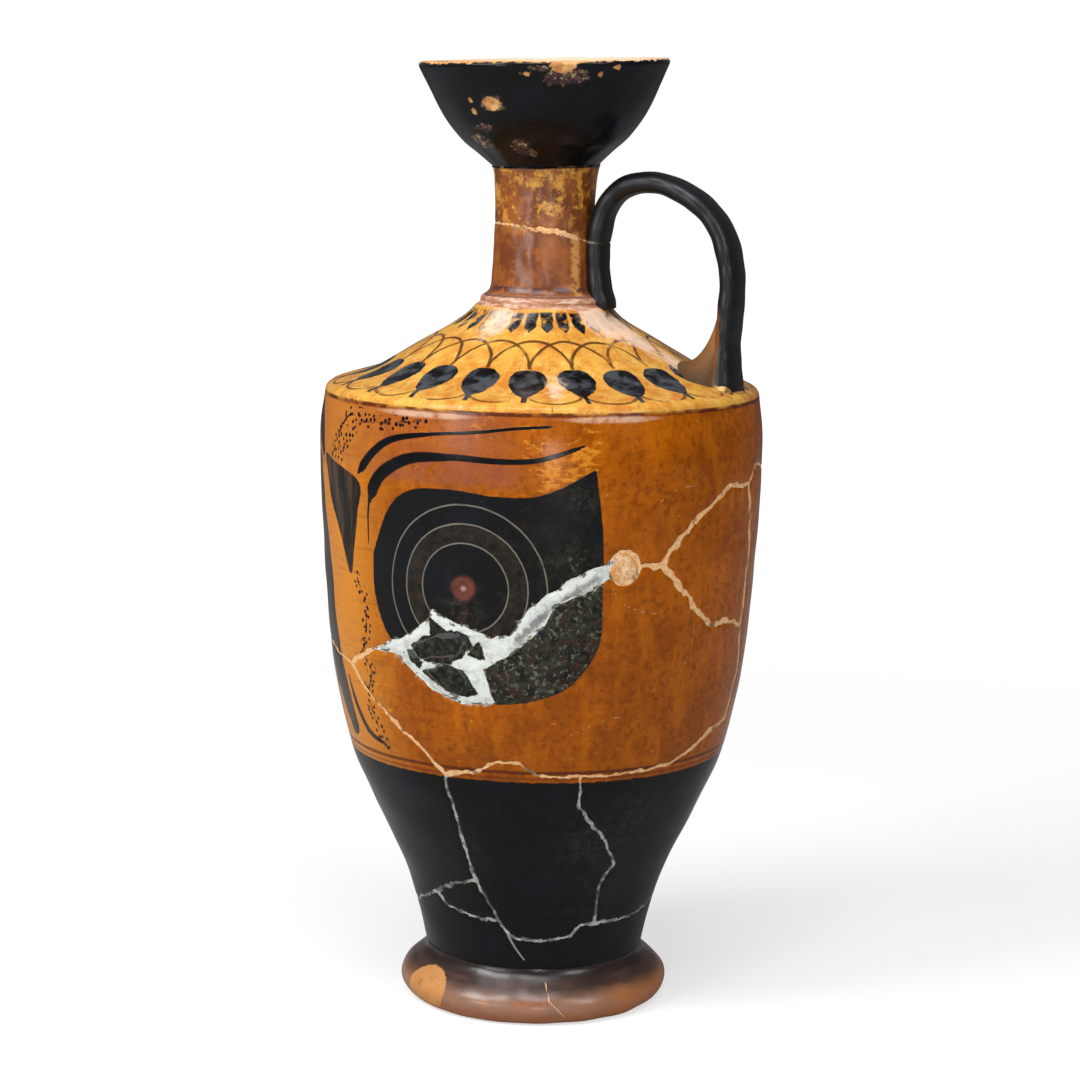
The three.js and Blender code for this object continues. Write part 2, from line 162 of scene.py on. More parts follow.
def neck_outline():
    bulge = NECK_RING_HEIGHT / 2
    turns = np.radians(np.linspace(-20, 75, 14))
    ring = np.stack([
        NECK_RING_RADIUS - bulge + bulge * np.cos(turns),
        NECK_START + bulge * (1 + np.sin(turns)),
    ], 1)
    ring = np.vstack([[(SHOULDER_TOP_RADIUS + 0.15, NECK_START - 0.25)], ring])
    shaft = spline([
        ring[-1],
        (NECK_RADIUS + NECK_FOOT_FLARE, neck_level(0.124)),
        (NECK_RADIUS + NECK_FOOT_FLARE / 2, neck_level(0.25)),
        (NECK_RADIUS, neck_level(0.68)),
        (lerp(NECK_RADIUS, NECK_TOP_RADIUS, 0.35), neck_level(0.9)),
        (NECK_TOP_RADIUS, MOUTH_START + 0.3),
    ], 120)
    return np.vstack([ring, shaft[1:]])


def mouth_outline():
    """Closed outline of the mouth: up its outside, over the lip and down the bowl."""
    heights = (MOUTH_START, TOTAL_HEIGHT)
    bowl_radius = MOUTH_RADIUS - LIP_WIDTH
    rounding = LIP_WIDTH / 4
    outer = between((NECK_TOP_RADIUS, MOUTH_RADIUS), heights, [
        (0, -0.02), (0, 0), (0.19, 0.12), (0.4, 0.24), (0.6, 0.41), (0.745, 0.578), (0.86, 0.75), (1, 0.96),
    ], 90)
    lip = spline([
        outer[-1],
        (MOUTH_RADIUS - 0.25 * rounding, TOTAL_HEIGHT - 0.35),
        (MOUTH_RADIUS - rounding, TOTAL_HEIGHT),
        (bowl_radius + rounding, TOTAL_HEIGHT),
        (bowl_radius + 0.2 * rounding, TOTAL_HEIGHT - 0.4),
        (bowl_radius, lerp(*heights, 0.94)),
    ], 24)
    bowl = between((BORE_RADIUS, bowl_radius), heights, [
        (1, 0.94), (0.86, 0.76), (0.72, 0.6), (0.52, 0.43), (0.28, 0.28), (0.08, 0.15), (0, -0.02),
    ], 60)
    return np.vstack([outer, lip[1:], bowl[1:]])


def foot_outline():
    """Outline of the foot from the middle of its underside, round its edge, to the middle of its top."""
    turns = np.linspace(0, np.pi / 2, 12)
    lower = np.stack([
        lerp(FOOT_REST_RADIUS, FOOT_BULGE_RADIUS, np.sin(turns)),
        FOOT_BULGE_HEIGHT * (1 - np.cos(turns)),
    ], 1)
    share = np.linspace(0, 1, 40)[1:]
    fall = (1 + np.cos(np.pi * share ** 1.15)) / 2
    upper = np.stack([
        lerp(FOOT_JOINT_RADIUS, FOOT_BULGE_RADIUS, fall),
        lerp(FOOT_BULGE_HEIGHT, FOOT_HEIGHT, share),
    ], 1)
    rest_inner = FOOT_REST_RADIUS - FOOT_REST_WIDTH
    recess = spline([(0.01, FOOT_RECESS), (rest_inner * 0.6, FOOT_RECESS * 0.8), (rest_inner, 0)], 30)
    top = [(FOOT_JOINT_RADIUS - 2, FOOT_HEIGHT + 0.1), (0.01, FOOT_HEIGHT + 0.1)]
    return np.vstack([recess, lower, upper, top])


class Surface:
    """A turned surface as a grid of rows along an outline and columns round the axis."""

    def __init__(self, outline, columns, step):
        length = lengths(outline)
        self.columns = columns
        self.rows = int(round(length[-1] / step)) + 1
        self.along = np.linspace(0, length[-1], self.rows)
        self.radius, self.height = (np.interp(self.along, length, outline[:, k]) for k in (0, 1))
        slope = np.gradient(self.radius, self.along), np.gradient(self.height, self.along)
        self.normal = np.stack([slope[1], -slope[0]], 1) / np.hypot(*slope)[:, None]
        reach = max(int(SOFT_REACH / step), 1)
        kernel = np.hanning(2 * reach + 1)
        padded = np.pad(self.normal, ((reach, reach), (0, 0)), mode="edge")
        soft = np.stack([np.convolve(padded[:, k], kernel / kernel.sum(), "valid") for k in (0, 1)], 1)
        self.soft_normal = soft / np.linalg.norm(soft, axis=1)[:, None]
        angle = -180 + 360 * np.arange(columns) / columns
        lines = [line[:, None] for line in (self.along, self.radius, self.height)]
        self.grid_angle, self.grid_along, self.grid_radius, self.grid_height = (
            np.broadcast_to(line, (self.rows, columns)) for line in (angle, *lines)
        )

    def along_at(self, height):
        return float(np.interp(height, self.height, self.along))

    def place(self, row, column, depth, soft=False):
        """Points of the surface at fractional rows and columns, sunk by depth."""
        normal = self.soft_normal if soft else self.normal
        lines = self.radius, self.height, normal[:, 0], normal[:, 1]
        radius, height, out, up = (np.interp(row, np.arange(self.rows), line) for line in lines)
        angle = np.radians(-180 + 360 * column / self.columns)
        radius = radius - depth * out
        return np.stack([radius * np.cos(angle), radius * np.sin(angle), height - depth * up], 1)

    def ripple(self, seed, size, count=14):
        """Seeded smooth unevenness between about -1 and 1, with waves of about the given size."""
        rng = np.random.default_rng(seed)
        total = 0
        for _ in range(count):
            around = rng.integers(1, max(int(320 / size), 2))
            up = rng.normal() * 2 * np.pi / size
            start = rng.uniform(0, 2 * np.pi)
            total = total + np.sin(np.radians(self.grid_angle) * around + self.grid_along * up + start)
        return total / math.sqrt(count / 2) / 2


def sample(grid, row, column):
    """Values of a grid at fractional rows and columns, the columns going round."""
    rows, columns = grid.shape
    j0 = np.clip(np.floor(row).astype(int), 0, rows - 1)
    j1 = np.minimum(j0 + 1, rows - 1)
    i0 = np.floor(column).astype(int) % columns
    i1 = (i0 + 1) % columns
    fj, fi = row - np.floor(row), column - np.floor(column)
    top = grid[j0, i0] * (1 - fi) + grid[j0, i1] * fi
    bottom = grid[j1, i0] * (1 - fi) + grid[j1, i1] * fi
    return top * (1 - fj) + bottom * fj


# Lines on a surface: lists of (angle, length along the outline)

def wrapped(angle):
    return (angle + 180) % 360 - 180


def line_distance(surface, path, angles=None):
    """Distance to a line, the same signed by the side, and how far along it the nearest point lies."""
    angles = surface.grid_angle if angles is None else angles
    across = np.full(angles.shape, FAR)
    best = across.copy()
    passed = np.zeros(angles.shape)
    travelled = 0.0
    for (a0, s0), (a1, s1) in zip(path[:-1], path[1:]):
        near = np.nonzero((surface.along > min(s0, s1) - FAR) & (surface.along < max(s0, s1) + FAR))[0]
        middle = np.interp((s0 + s1) / 2, surface.along, surface.radius)
        piece = math.hypot(math.radians(a1 - a0) * middle, s1 - s0)
        if near.size:
            rows = slice(near[0], near[-1] + 1)
            scale = np.radians(1) * surface.grid_radius[rows]
            px = wrapped(angles[rows] - a0) * scale
            py = surface.grid_along[rows] - s0
            dx = (a1 - a0) * scale
            dy = s1 - s0
            t = np.clip((px * dx + py * dy) / (dx * dx + dy * dy + 1e-9), 0, 1)
            distance = np.hypot(px - t * dx, py - t * dy)
            signed = np.where(dx * py - dy * px < 0, -distance, distance)
            closer = distance < best[rows]
            for grid, new in ((best, distance), (across, signed), (passed, travelled + t * piece)):
                grid[rows] = np.where(closer, new, grid[rows])
        travelled += piece
    return best, across, passed


def inside(surface, outline, angles):
    """Whether each grid point lies in a closed outline, which may go round the axis."""
    result = np.zeros(angles.shape, bool)
    for shift in (-360, 0, 360):
        odd = np.zeros(angles.shape, bool)
        for (a0, s0), (a1, s1) in zip(outline, [*outline[1:], outline[0]]):
            rows = (surface.along >= min(s0, s1)) & (surface.along < max(s0, s1))
            if rows.any():
                crossing = a0 + (surface.along[rows] - s0) / (s1 - s0) * (a1 - a0)
                odd[rows] ^= angles[rows] + shift < crossing[:, None]
        result |= odd
    return result


def region(surface, outline, edge=None, angles=None):
    """Signed distance into a closed outline, positive inside it."""
    angles = surface.grid_angle if angles is None else angles
    distance = line_distance(surface, [*outline, outline[0]] if edge is None else edge, angles)[0]
    return np.where(inside(surface, outline, angles), distance, -distance)


def rough_line(points, seed, unevenness=0.3, step=1.1, radius=48.0):
    """A break with small seeded zigzags: one list of points for each of its given legs."""
    rng = np.random.default_rng(seed)
    legs = []
    for (a0, s0), (a1, s1) in zip(points[:-1], points[1:]):
        dx, dy = math.radians(a1 - a0) * radius, s1 - s0
        length = math.hypot(dx, dy) or 1.0
        count = max(int(length / step), 1)
        t = np.arange(count + 1) / count
        wander = np.convolve(rng.normal(size=count + 3), [0.3, 0.5, 0.3], "valid") * unevenness
        wander[0] = wander[-1] = 0
        angle = lerp(a0, a1, t) + np.degrees(-dy / length * wander / radius)
        legs.append(np.stack([angle, lerp(s0, s1, t) + dx / length * wander], 1))
    return legs


def run(legs, start=0, end=None, shift=0):
    """Points of a rough line from one of its given points to another."""
    end = len(legs) if end is None else end
    if start > end:
        return run(legs, end, start, shift)[::-1]
    points = np.vstack([legs[k] for k in range(start, end)])
    return [(a + shift, s) for a, s in points]


# Breaks of the wall, as in the part: (angle, level) points

def on_patch(turn):
    return (
        PATCH_ANGLE + math.degrees(PATCH_RADIUS / BELLY_RADIUS * math.cos(math.radians(turn))),
        PATCH_LEVEL + PATCH_RADIUS / (SHOULDER_HEIGHT - BAND_HEIGHT) * math.sin(math.radians(turn)),
    )


BROKEN_CORNER = (0, 1.38)
BREAKS = {
    "fill_top": [
        (-118, 1.335), (-106, 1.39), (-99, 1.44), (-98, 1.47), (-92, 1.44), (-82, 1.4), (-77, 1.41),
        (-73, 1.48), (-62, 1.57), on_patch(163),
    ],
    "fill_bottom": [
        (-118, 1.335), (-110, 1.335), (-106, 1.305), (-101, 1.27), (-96, 1.24), (-91, 1.218), (-81.5, 1.228),
        (-84.5, 1.32), (-75, 1.38), (-69, 1.44), (-66, 1.5), (-59, 1.53), on_patch(207),
    ],
    "large_sherd": [
        (-107, 1.345), (-101, 1.38), (-97, 1.4), (-91, 1.41), (-88.5, 1.39), (-91, 1.352), (-103, 1.33),
        (-107, 1.345),
    ],
    "small_sherd": [
        (-101, 1.3), (-96, 1.32), (-91.5, 1.318), (-89, 1.29), (-89.5, 1.25), (-92, 1.238), (-96, 1.26),
        (-101, 1.3),
    ],
    "over_point": [
        on_patch(0), (-38, 1.595), (-33, 1.66), (-27, 1.72), (-14.5, 1.79), (-3, 1.785), (3, 1.83),
        (40, 1.76), (90, 1.62), (140, 1.5), (190, 1.33), (229, 1.27), (242, 1.335),
    ],
    "under_point": [(-38, 1.595), (-32, 1.54), (-26, 1.47), (-19, 1.41), (-11.5, 1.415), BROKEN_CORNER],
    "point_side": [(-3, 1.785), (-0.2, 1.67), (0.6, 1.55), BROKEN_CORNER],
    "front": [
        BROKEN_CORNER, (3, 1.25), (0.5, 1.165), (0, 1.11), (-11.3, 1.096), (-19.7, 1.055), (-29.3, 1.025),
        (-45.3, 1.015), (-64.7, 1.018), (-70, 1.02), (-74.6, 1.056), (-80.8, 1.057), (-88.7, 1.017),
        (-97.7, 1.005), (-104, 1.07), (-111.4, 1.12), (-118.5, 1.17), (-125.5, 1.215), (-131, 1.27),
    ],
    "black_left": [(-97.4, 1.005), (-97.1, 0.84), (-96.4, 0.67), (-94.8, 0.45), (-89.6, 0.32), (-84.5, 0.21)],
    "black_right": [
        (-57.2, 1.018), (-57, 0.871), (-53.2, 0.8), (-44.3, 0.669), (-37.7, 0.535), (-42, 0.437),
        (-41.6, 0.386), (-40, 0.222),
    ],
    "over_left": [(-144, 0.233), (-119.5, 0.343), (-107, 0.408), (-94.9, 0.45)],
    "base": [
        (-119.5, 0.343), (-114.6, 0.282), (-107, 0.265), (-96.7, 0.251), (-87, 0.247), (-82.9, 0.19),
        (-76.7, 0.155), (-65.8, 0.149), (-51.8, 0.167), (-47.5, 0.222), (-33.6, 0.22), (-13, 0.224),
        (15, 0.25), (60, 0.2), (110, 0.24), (165, 0.2), (216, 0.233),
    ],
}
NECK_BREAK = [
    (-143, 0.58), (-113, 0.58), (-99, 0.565), (-76, 0.555), (-53, 0.53), (-21, 0.475), (0, 0.455),
    (30, 0.475), (75, 0.52), (120, 0.56), (170, 0.59), (217, 0.58),
]

wall = Surface(np.vstack([wall_outline(), shoulder_outline()[1:]]), COLUMNS, STEP)
neck = Surface(neck_outline(), columns=300, step=0.35)


def on_wall(points):
    return [(angle, wall.along_at(height_of(level))) for angle, level in points]


def at_heights(points):
    return [(angle, wall.along_at(height)) for angle, height in points]


BELOW = -12.0  # lower than any row, to close an outline
ABOVE = 400.0


def wall_regions():
    """Signed distances into each sherd and fill of the wall, each first cut by the ones before it."""
    rough = {name: rough_line(on_wall(points), seed) for seed, (name, points) in enumerate(BREAKS.items())}
    line = {name: run(legs) for name, legs in rough.items()}
    over_point, over_left = rough["over_point"], rough["over_left"]
    top_line = line["fill_top"] + line["over_point"]
    base = run(over_left, 0, 1) + line["base"]
    back_edge = run(over_point, 11, 12, shift=-360)
    outlines = {
        "round_patch_fill": on_wall([on_patch(turn) for turn in range(0, 360, 12)]),
        "eye_sherd_large": line["large_sherd"][:-1],
        "eye_sherd_small": line["small_sherd"][:-1],
        "eye_plaster_fill": line["fill_top"] + line["fill_bottom"][::-1],
        "upper_body_sherd": top_line + [(242, ABOVE), (-118, ABOVE)],
        "base_sherd": base + [(216, BELOW), (-144, BELOW)],
        "right_body_sherd": run(over_point, 1, 5) + line["point_side"] + line["under_point"][::-1],
        "front_body_sherd": (line["fill_bottom"] + run(over_point, 0, 1) + line["under_point"]
                             + line["front"] + back_edge),
        "lower_left_sherd": (run(over_left, 1, 3) + run(rough["black_left"], 3, 5)
                             + on_wall([(-84.5, 0.1), (-119.5, 0.1)])),
        "lower_front_sherd": (line["black_left"] + on_wall([(-84.5, 0.05), (-40, 0.05)])
                              + line["black_right"][::-1] + on_wall([(-57.2, 1.1), (-97.4, 1.1)])),
    }
    edges = {"upper_body_sherd": top_line, "base_sherd": base}
    result = {}
    taken = np.full(wall.grid_angle.shape, -FAR)
    for name, outline in outlines.items():
        depth = region(wall, outline, edges.get(name))
        result[name] = np.minimum(depth, -taken)
        taken = np.maximum(taken, depth)
    result["back_wall_sherd"] = -taken
    return result


# Meshes

def cut_faces(field):
    """Faces of the grid where the field is above 0, with fractional rows and columns for their corners."""
    rows, columns = field.shape
    within = field > 0
    index = np.full(field.shape, -1)
    index[within] = np.arange(within.sum())
    corner_rows, corner_columns = (list(v.astype(float)) for v in np.nonzero(within))
    right_of = np.roll(within, -1, axis=1)
    full = within[:-1] & right_of[:-1] & within[1:] & right_of[1:]
    some = (within[:-1] | right_of[:-1] | within[1:] | right_of[1:]) & ~full
    j, i = np.nonzero(full)
    i2 = (i + 1) % columns
    quads = np.stack([index[j, i], index[j, i2], index[j + 1, i2], index[j + 1, i]], 1).tolist()
    cut = {}

    def crossing(j0, i0, j1, i1):
        """Corner where the edge of the field crosses one side of a cell."""
        key = (j0, i0 % columns, j1, i1 % columns)
        if key not in cut:
            a, b = field[j0, i0 % columns], field[j1, i1 % columns]
            t = min(max(a / (a - b), 0.04), 0.96)
            cut[key] = len(corner_rows)
            corner_rows.append(lerp(j0, j1, t))
            corner_columns.append(lerp(i0, i1, t))
        return cut[key]

    faces = []
    for j, i in zip(*np.nonzero(some)):
        ring = [(j, i), (j, i + 1), (j + 1, i + 1), (j + 1, i)]
        face = []
        for k in range(4):
            (ja, ia), (jb, ib) = ring[k], ring[(k + 1) % 4]
            a_in, b_in = within[ja, ia % columns], within[jb, ib % columns]
            if a_in:
                face.append(int(index[ja, ia % columns]))
            if a_in != b_in:
                low, high = sorted([(ja, ia), (jb, ib)])
                face.append(crossing(*low, *high))
        if len(face) > 2:
            faces.append(face)
    return quads + faces, np.array(corner_rows), np.array(corner_columns)


def boundary_edges(faces, count):
    edges = np.array([edge for face in faces for edge in zip(face, face[1:] + face[:1])])
    forward = edges[:, 0] * count + edges[:, 1]
    backward = edges[:, 1] * count + edges[:, 0]
    return edges[~np.isin(forward, backward)]


def grid_faces(rows, columns, closed=False):
    """Quads of a grid that goes round; a closed one joins its last row to its first."""
    j, i = (index.ravel() for index in np.mgrid[0:rows if closed else rows - 1, 0:columns])
    low, high = j * columns, (j + 1) % rows * columns
    after = (i + 1) % columns
    return np.stack([low + i, low + after, high + after, high + i], 1).tolist()


def turned_mesh(surface, relief, closed=False):
    row, column = (index.ravel().astype(float) for index in np.mgrid[0:surface.rows, 0:surface.columns])
    return surface.place(row, column, -relief.ravel()), grid_faces(surface.rows, surface.columns, closed)


def lofted(rings):
    """Mesh through rings of points, with a fan over the first ring and over the last."""
    count = len(rings[0])
    points = np.vstack([*rings, rings[0].mean(0)[None], rings[-1].mean(0)[None]])
    faces = grid_faces(len(rings), count)
    middle, top = len(rings) * count, (len(rings) - 1) * count
    for k in range(count):
        j = (k + 1) % count
        faces += [[middle, j, k], [middle + 1, top + k, top + j]]
    return points, faces


def shell(surface, field, relief, thickness, grids, chamfer=0.12, fall=0.35):
    """Closed shell over the part of a surface where the field is above 0, with numbers from the grids."""
    faces, row, column = cut_faces(field)
    count = len(row)
    edge = chamfer * np.exp(-np.maximum(sample(field, row, column), 0) / fall)
    outer = surface.place(row, column, edge - sample(relief, row, column))
    inner = surface.place(row, column, thickness, soft=True)
    inner_faces = [[k + count for k in face[::-1]] for face in faces]
    sides = [[b, a, a + count, b + count] for a, b in boundary_edges(faces, count)]
    skins = [0] * len(faces) + [1] * (len(faces) + len(sides))
    numbers = {key: np.tile(sample(grid, row, column), 2) for key, grid in grids.items()}
    return np.vstack([outer, inner]), faces + inner_faces + sides, skins, numbers


def add(name, data):
    thing = bpy.data.objects.new(name, data)
    bpy.context.scene.collection.objects.link(thing)
    return thing


def new_piece(name, slot, points, faces, materials, skins=None, numbers=None):
    """A mesh in metres that rides on the vessel's body.

    A name that ends in _clay stands in for the part's node of that name. The skins tell which material
    each face has, and the numbers are stored on the points for the paint.
    """
    mesh = bpy.data.meshes.new(name)
    mesh.from_pydata((np.asarray(points) * MM).tolist(), [], [list(map(int, face)) for face in faces])
    for material in materials:
        mesh.materials.append(material)
    mesh.polygons.foreach_set("use_smooth", np.ones(len(faces), bool))
    if skins is not None:
        mesh.polygons.foreach_set("material_index", np.asarray(skins, np.int32))
    for key, values in (numbers or {}).items():
        mesh.attributes.new(key, "FLOAT", "POINT").data.foreach_set("value", np.asarray(values, np.float32))
    mesh.set_sharp_from_angle(angle=math.radians(SHARP_ANGLE))
    mesh.update()
    thing = add(name, mesh)
    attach(thing, "root")
    if name.endswith("_clay"):
        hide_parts(name.removesuffix("_clay"))


# Materials

SHEEN = 0.16  # specular level of the wall


def linear(level):
    level = level / 255
    return level / 12.92 if level <= 0.04045 else ((level + 0.055) / 1.055) ** 2.4


def operator(operation, swapped=False):
    def apply(self, other=None):
        return self.nodes.math(operation, *((other, self) if swapped else (self, other)))
    return apply


class Field:
    """Output of a node; a number that varies over a surface can be reckoned with as it stands."""

    __add__ = __radd__ = operator("ADD")
    __mul__ = __rmul__ = operator("MULTIPLY")
    __sub__ = operator("SUBTRACT")
    __rsub__ = operator("SUBTRACT", swapped=True)
    __truediv__ = operator("DIVIDE")
    __pow__ = operator("POWER")
    __abs__ = operator("ABSOLUTE")

    def __init__(self, nodes, socket):
        self.nodes = nodes
        self.socket = socket


class Nodes:
    """Nodes of a material or world; every call takes numbers, colours and node outputs alike."""

    def __init__(self, owner):
        owner.use_nodes = True
        self.owner = owner
        self.tree = owner.node_tree
        self.tree.nodes.clear()

    def node(self, kind, *values, out=0, **named):
        """Output of a new node. Values fill its first inputs; of the named ones, capitals mark an input."""
        node = self.tree.nodes.new("ShaderNode" + kind)
        inputs = dict(enumerate(values))
        for key, value in named.items():
            if key[0].isupper():
                inputs[key.replace("_", " ")] = value
            else:
                setattr(node, key, value)
        for key, value in inputs.items():
            if isinstance(value, Field):
                self.tree.links.new(value.socket, node.inputs[key])
            elif value is not None:
                node.inputs[key].default_value = value
        return Field(self, node.outputs[out]) if node.outputs else None

    def math(self, operation, *values):
        return self.node("Math", *values, operation=operation)


class Paint(Nodes):
    """Nodes of one material of the vessel."""

    def __init__(self, name):
        super().__init__(bpy.data.materials.new(name))
        metres = self.node("TexCoord", out="Object")
        self.place = self.node("VectorMath", metres, operation="SCALE", Scale=1 / MM)
        self.x, self.y, self.z = (self.node("SeparateXYZ", self.place, out=axis) for axis in "XYZ")
        self.radius = self.math("SQRT", self.x * self.x + self.y * self.y)
        self.angle = self.math("ARCTAN2", self.y, self.x) * math.degrees(1)

    def value(self, name):
        """A number stored on the mesh's points."""
        return self.node("Attribute", attribute_type="GEOMETRY", attribute_name=name, out="Fac")

    def rise(self, x, low, high):
        """0 at low and 1 at high, with a smooth rise between; high may be the smaller one."""
        return self.node("MapRange", x, low, high, interpolation_type="SMOOTHSTEP")

    def combine(self, x, y, z=0):
        return self.node("CombineXYZ", x, y, z)

    def noise(self, size, offset=0, detail=3, roughness=0.55, place=None):
        """Grains of about the given size, around 0.5, seeded by the offset."""
        place = self.place if place is None else place
        place = self.node("VectorMath", place, (offset, offset * 0.7, offset * 1.3), operation="ADD")
        return self.node("TexNoise", Vector=place, Scale=1 / size, Detail=detail, Roughness=roughness)

    def clouds(self, size, offset, low, high, detail=3, roughness=0.55):
        """Noise that rises from 0 to 1 between two of its levels."""
        return self.rise(self.noise(size, offset, detail, roughness), low, high)

    def jitter(self, size, offset, reach, detail=3, roughness=0.55):
        """Noise from about -reach / 2 to reach / 2."""
        return self.noise(size, offset, detail, roughness) * reach - reach / 2

    def wheel_marks(self, size, offset=0):
        """Noise drawn out round the axis, like the marks of a turning wheel."""
        ring = 3
        place = self.combine(self.x / self.radius * ring, self.y / self.radius * ring, self.z / size)
        return self.noise(1, offset, 3, 0.6, place)

    def flat_specks(self, size, radius, least):
        """Round specks on the unrolled wall, about size apart, with radii down to a share of the largest."""
        flat = self.combine(self.angle * math.radians(BELLY_RADIUS), self.z)
        cells = [
            self.node("TexVoronoi", Vector=flat, Scale=1 / size, voronoi_dimensions="2D", out=out)
            for out in ("Distance", "Color")
        ]
        own = self.node("SeparateColor", cells[1])
        ragged = self.jitter(0.6, 77, 0.3, 2)
        return self.rise(cells[0] * size + ragged - radius * (least + own * (1 - least)), 0.1, -0.1)

    def stroke(self, name, shaky):
        """Ink of the brush strokes stored under a name."""
        near = self.rise(self.value(name + "_far"), 1.6, 1.3)
        return self.rise(abs(self.value(name)) + shaky, 1.12, 0.85) * near

    def most(self, *fields):
        result = fields[0]
        for other in fields[1:]:
            result = self.math("MAXIMUM", result, other)
        return result

    def mix(self, factor, a, b):
        """Mixes two colours, each a node output or red, green and blue from 0 to 255."""
        a, b = ((*map(linear, v), 1) if isinstance(v, tuple) else v for v in (a, b))
        return self.node("Mix", factor, *[None] * 5, a, b, data_type="RGBA", out=2)

    def layers(self, colour, *masked):
        """Lays colours over one, each given with its mask."""
        for mask, over in masked:
            colour = self.mix(mask, colour, over)
        return colour

    def finish(self, colour, roughness, height, sheen=SHEEN):
        """The material, with the shader itself; height is relief in millimetres."""
        bump = self.node("Bump", Distance=MM, Strength=1, Height=height)
        surface = {"Base_Color": colour, "Roughness": roughness, "Specular_IOR_Level": sheen, "Normal": bump}
        self.node("OutputMaterial", self.node("BsdfPrincipled", **surface))
        return self.owner


# Colours, as red, green and blue from 0 to 255
DEEP_ORANGE = (156, 78, 2)
DARK_ORANGE = (120, 57, 2)
WARM_ORANGE = (178, 95, 8)
LIGHT_ORANGE = (208, 131, 36)
OCHRE = (206, 156, 68)
PALE_OCHRE = (222, 188, 116)
SLIP = (13, 13, 14)
SLIP_BLUE = (17, 22, 32)
SLIP_BROWN = (50, 33, 25)
SLIP_GREEN = (52, 54, 38)
SLIP_GREY = (104, 104, 90)
MAROON = (82, 32, 18)
LINE_BROWN = (62, 30, 18)
# Purplish clay, which also paints a sheen between the brows
PURPLE_CLAY_AND_SHEEN = (140, 78, 52)
PUPIL_RED = (104, 56, 44)
INCISED = (112, 107, 94)
CLAY_CORE = (206, 128, 62)
CREAM = (232, 190, 140)
PLASTER = (206, 211, 205)
PLASTER_SHADE = (138, 144, 140)
PLASTER_EDGE = (50, 47, 42)

# Paint of the shoulder
BUD_COUNT = 22
BUD_START = -74.9  # angle of one bud
BUD_TOP = 33.6  # radii on the shoulder
BUD_TIP = 45.6
STEM_END = 48.8
ARC_TOP = 24.6
GARLAND_TOP = 43.6
TONGUE_COUNT = 32
TONGUE_TOP = 16.0
TONGUE_TIP = 22.0

# Paint of the wall, on the side at -Y; the side at +Y mirrors it
EYE_CENTRE = (-89.1, 105.2)
EYE_UPPER = [
    (-117, 110.8), (-111, 121.3), (-104, 126), (-93, 127), (-80, 125.9), (-69, 126.7), (-56.6, 132.2),
]
EYE_LOWER = [
    (-56.6, 132.2), (-54.4, 118), (-54, 104.6), (-54.4, 93), (-61, 84.2), (-70, 80.6), (-80, 79.3),
    (-91, 79.8), (-104, 85.9), (-113, 93.1), (-117, 102), (-117, 110.8),
]
RINGS = (10.1, 14.4, 18.6)
PUPIL_RADIUS = 2.9
UPPER_BROW = [
    (-122, 128.3), (-115.8, 133.7), (-109, 137), (-98, 138.7), (-86, 139.7), (-76, 140.8), (-66, 141.4),
]
LOWER_BROW = [
    (-117.5, 122.8), (-113.5, 128.6), (-104, 133), (-92, 134), (-80, 133.6), (-70, 134.2), (-59, 137.4),
]
BROW_STROKES = [
    (UPPER_BROW[:4], 2.6, 0.65),
    (UPPER_BROW[2:], 0.9, 0.3),
    (LOWER_BROW[:4], 3.8, 0.55),
    (LOWER_BROW[2:], 1.8, 0.5),
    ([(-117, 124.5), (-118.6, 119), (-118.8, 112)], 0.8, 0.5),
]
VINES = [
    [(-101, 141.4), (-112, 140.2), (-121.7, 139.6), (-126, 136.7), (-130.8, 131.5)],
    [(-122, 141.2), (-127.5, 140.6), (-132, 136.6), (-135.3, 131.5)],
    [(-124.7, 104), (-121, 98), (-122, 90.5), (-123.5, 86.7), (-120.5, 82.6), (-123.5, 76), (-118.5, 66)],
]
# A plain plant at -X: a fan of leaves on a stem, with a hanging leaf and a long blade on each side
FAN_CENTRE = (-180.0, 96.0)
FAN_RADIUS = 50.8  # of the wall under it
# Turn, length and half width
FAN_LEAVES = [(0, 33, 4.4), (24, 31, 4.2), (49, 28, 4.0), (76, 25, 3.6), (105, 20, 3.0)]
HANGING_LEAF = [
    (-142, 131), (-134, 129.5), (-121.5, 126), (-123.5, 118), (-127.5, 104.5), (-132, 112), (-139, 122),
]
BLADE = [(-150, 128), (-149, 114), (-147, 97), (-144, 84), (-136.5, 68)]
TOP_BLADE = [(-158, 143), (-151, 139), (-144.5, 131)]
STEM = [(-180, 66), (-180, 96)]
LOW_STALK = [(-134, 80), (-131, 73), (-126, 68), (-118, 66)]
TENDRIL = [(-180, 84), (-172, 74), (-160, 70), (-150, 74), (-147, 81), (-152, 86), (-157, 83)]
# Points and half width
PLANT_STROKES = [(BLADE, 6.0), (TOP_BLADE, 3.2), (STEM, 1.1), (TENDRIL, 0.8), (LOW_STALK, 0.9)]

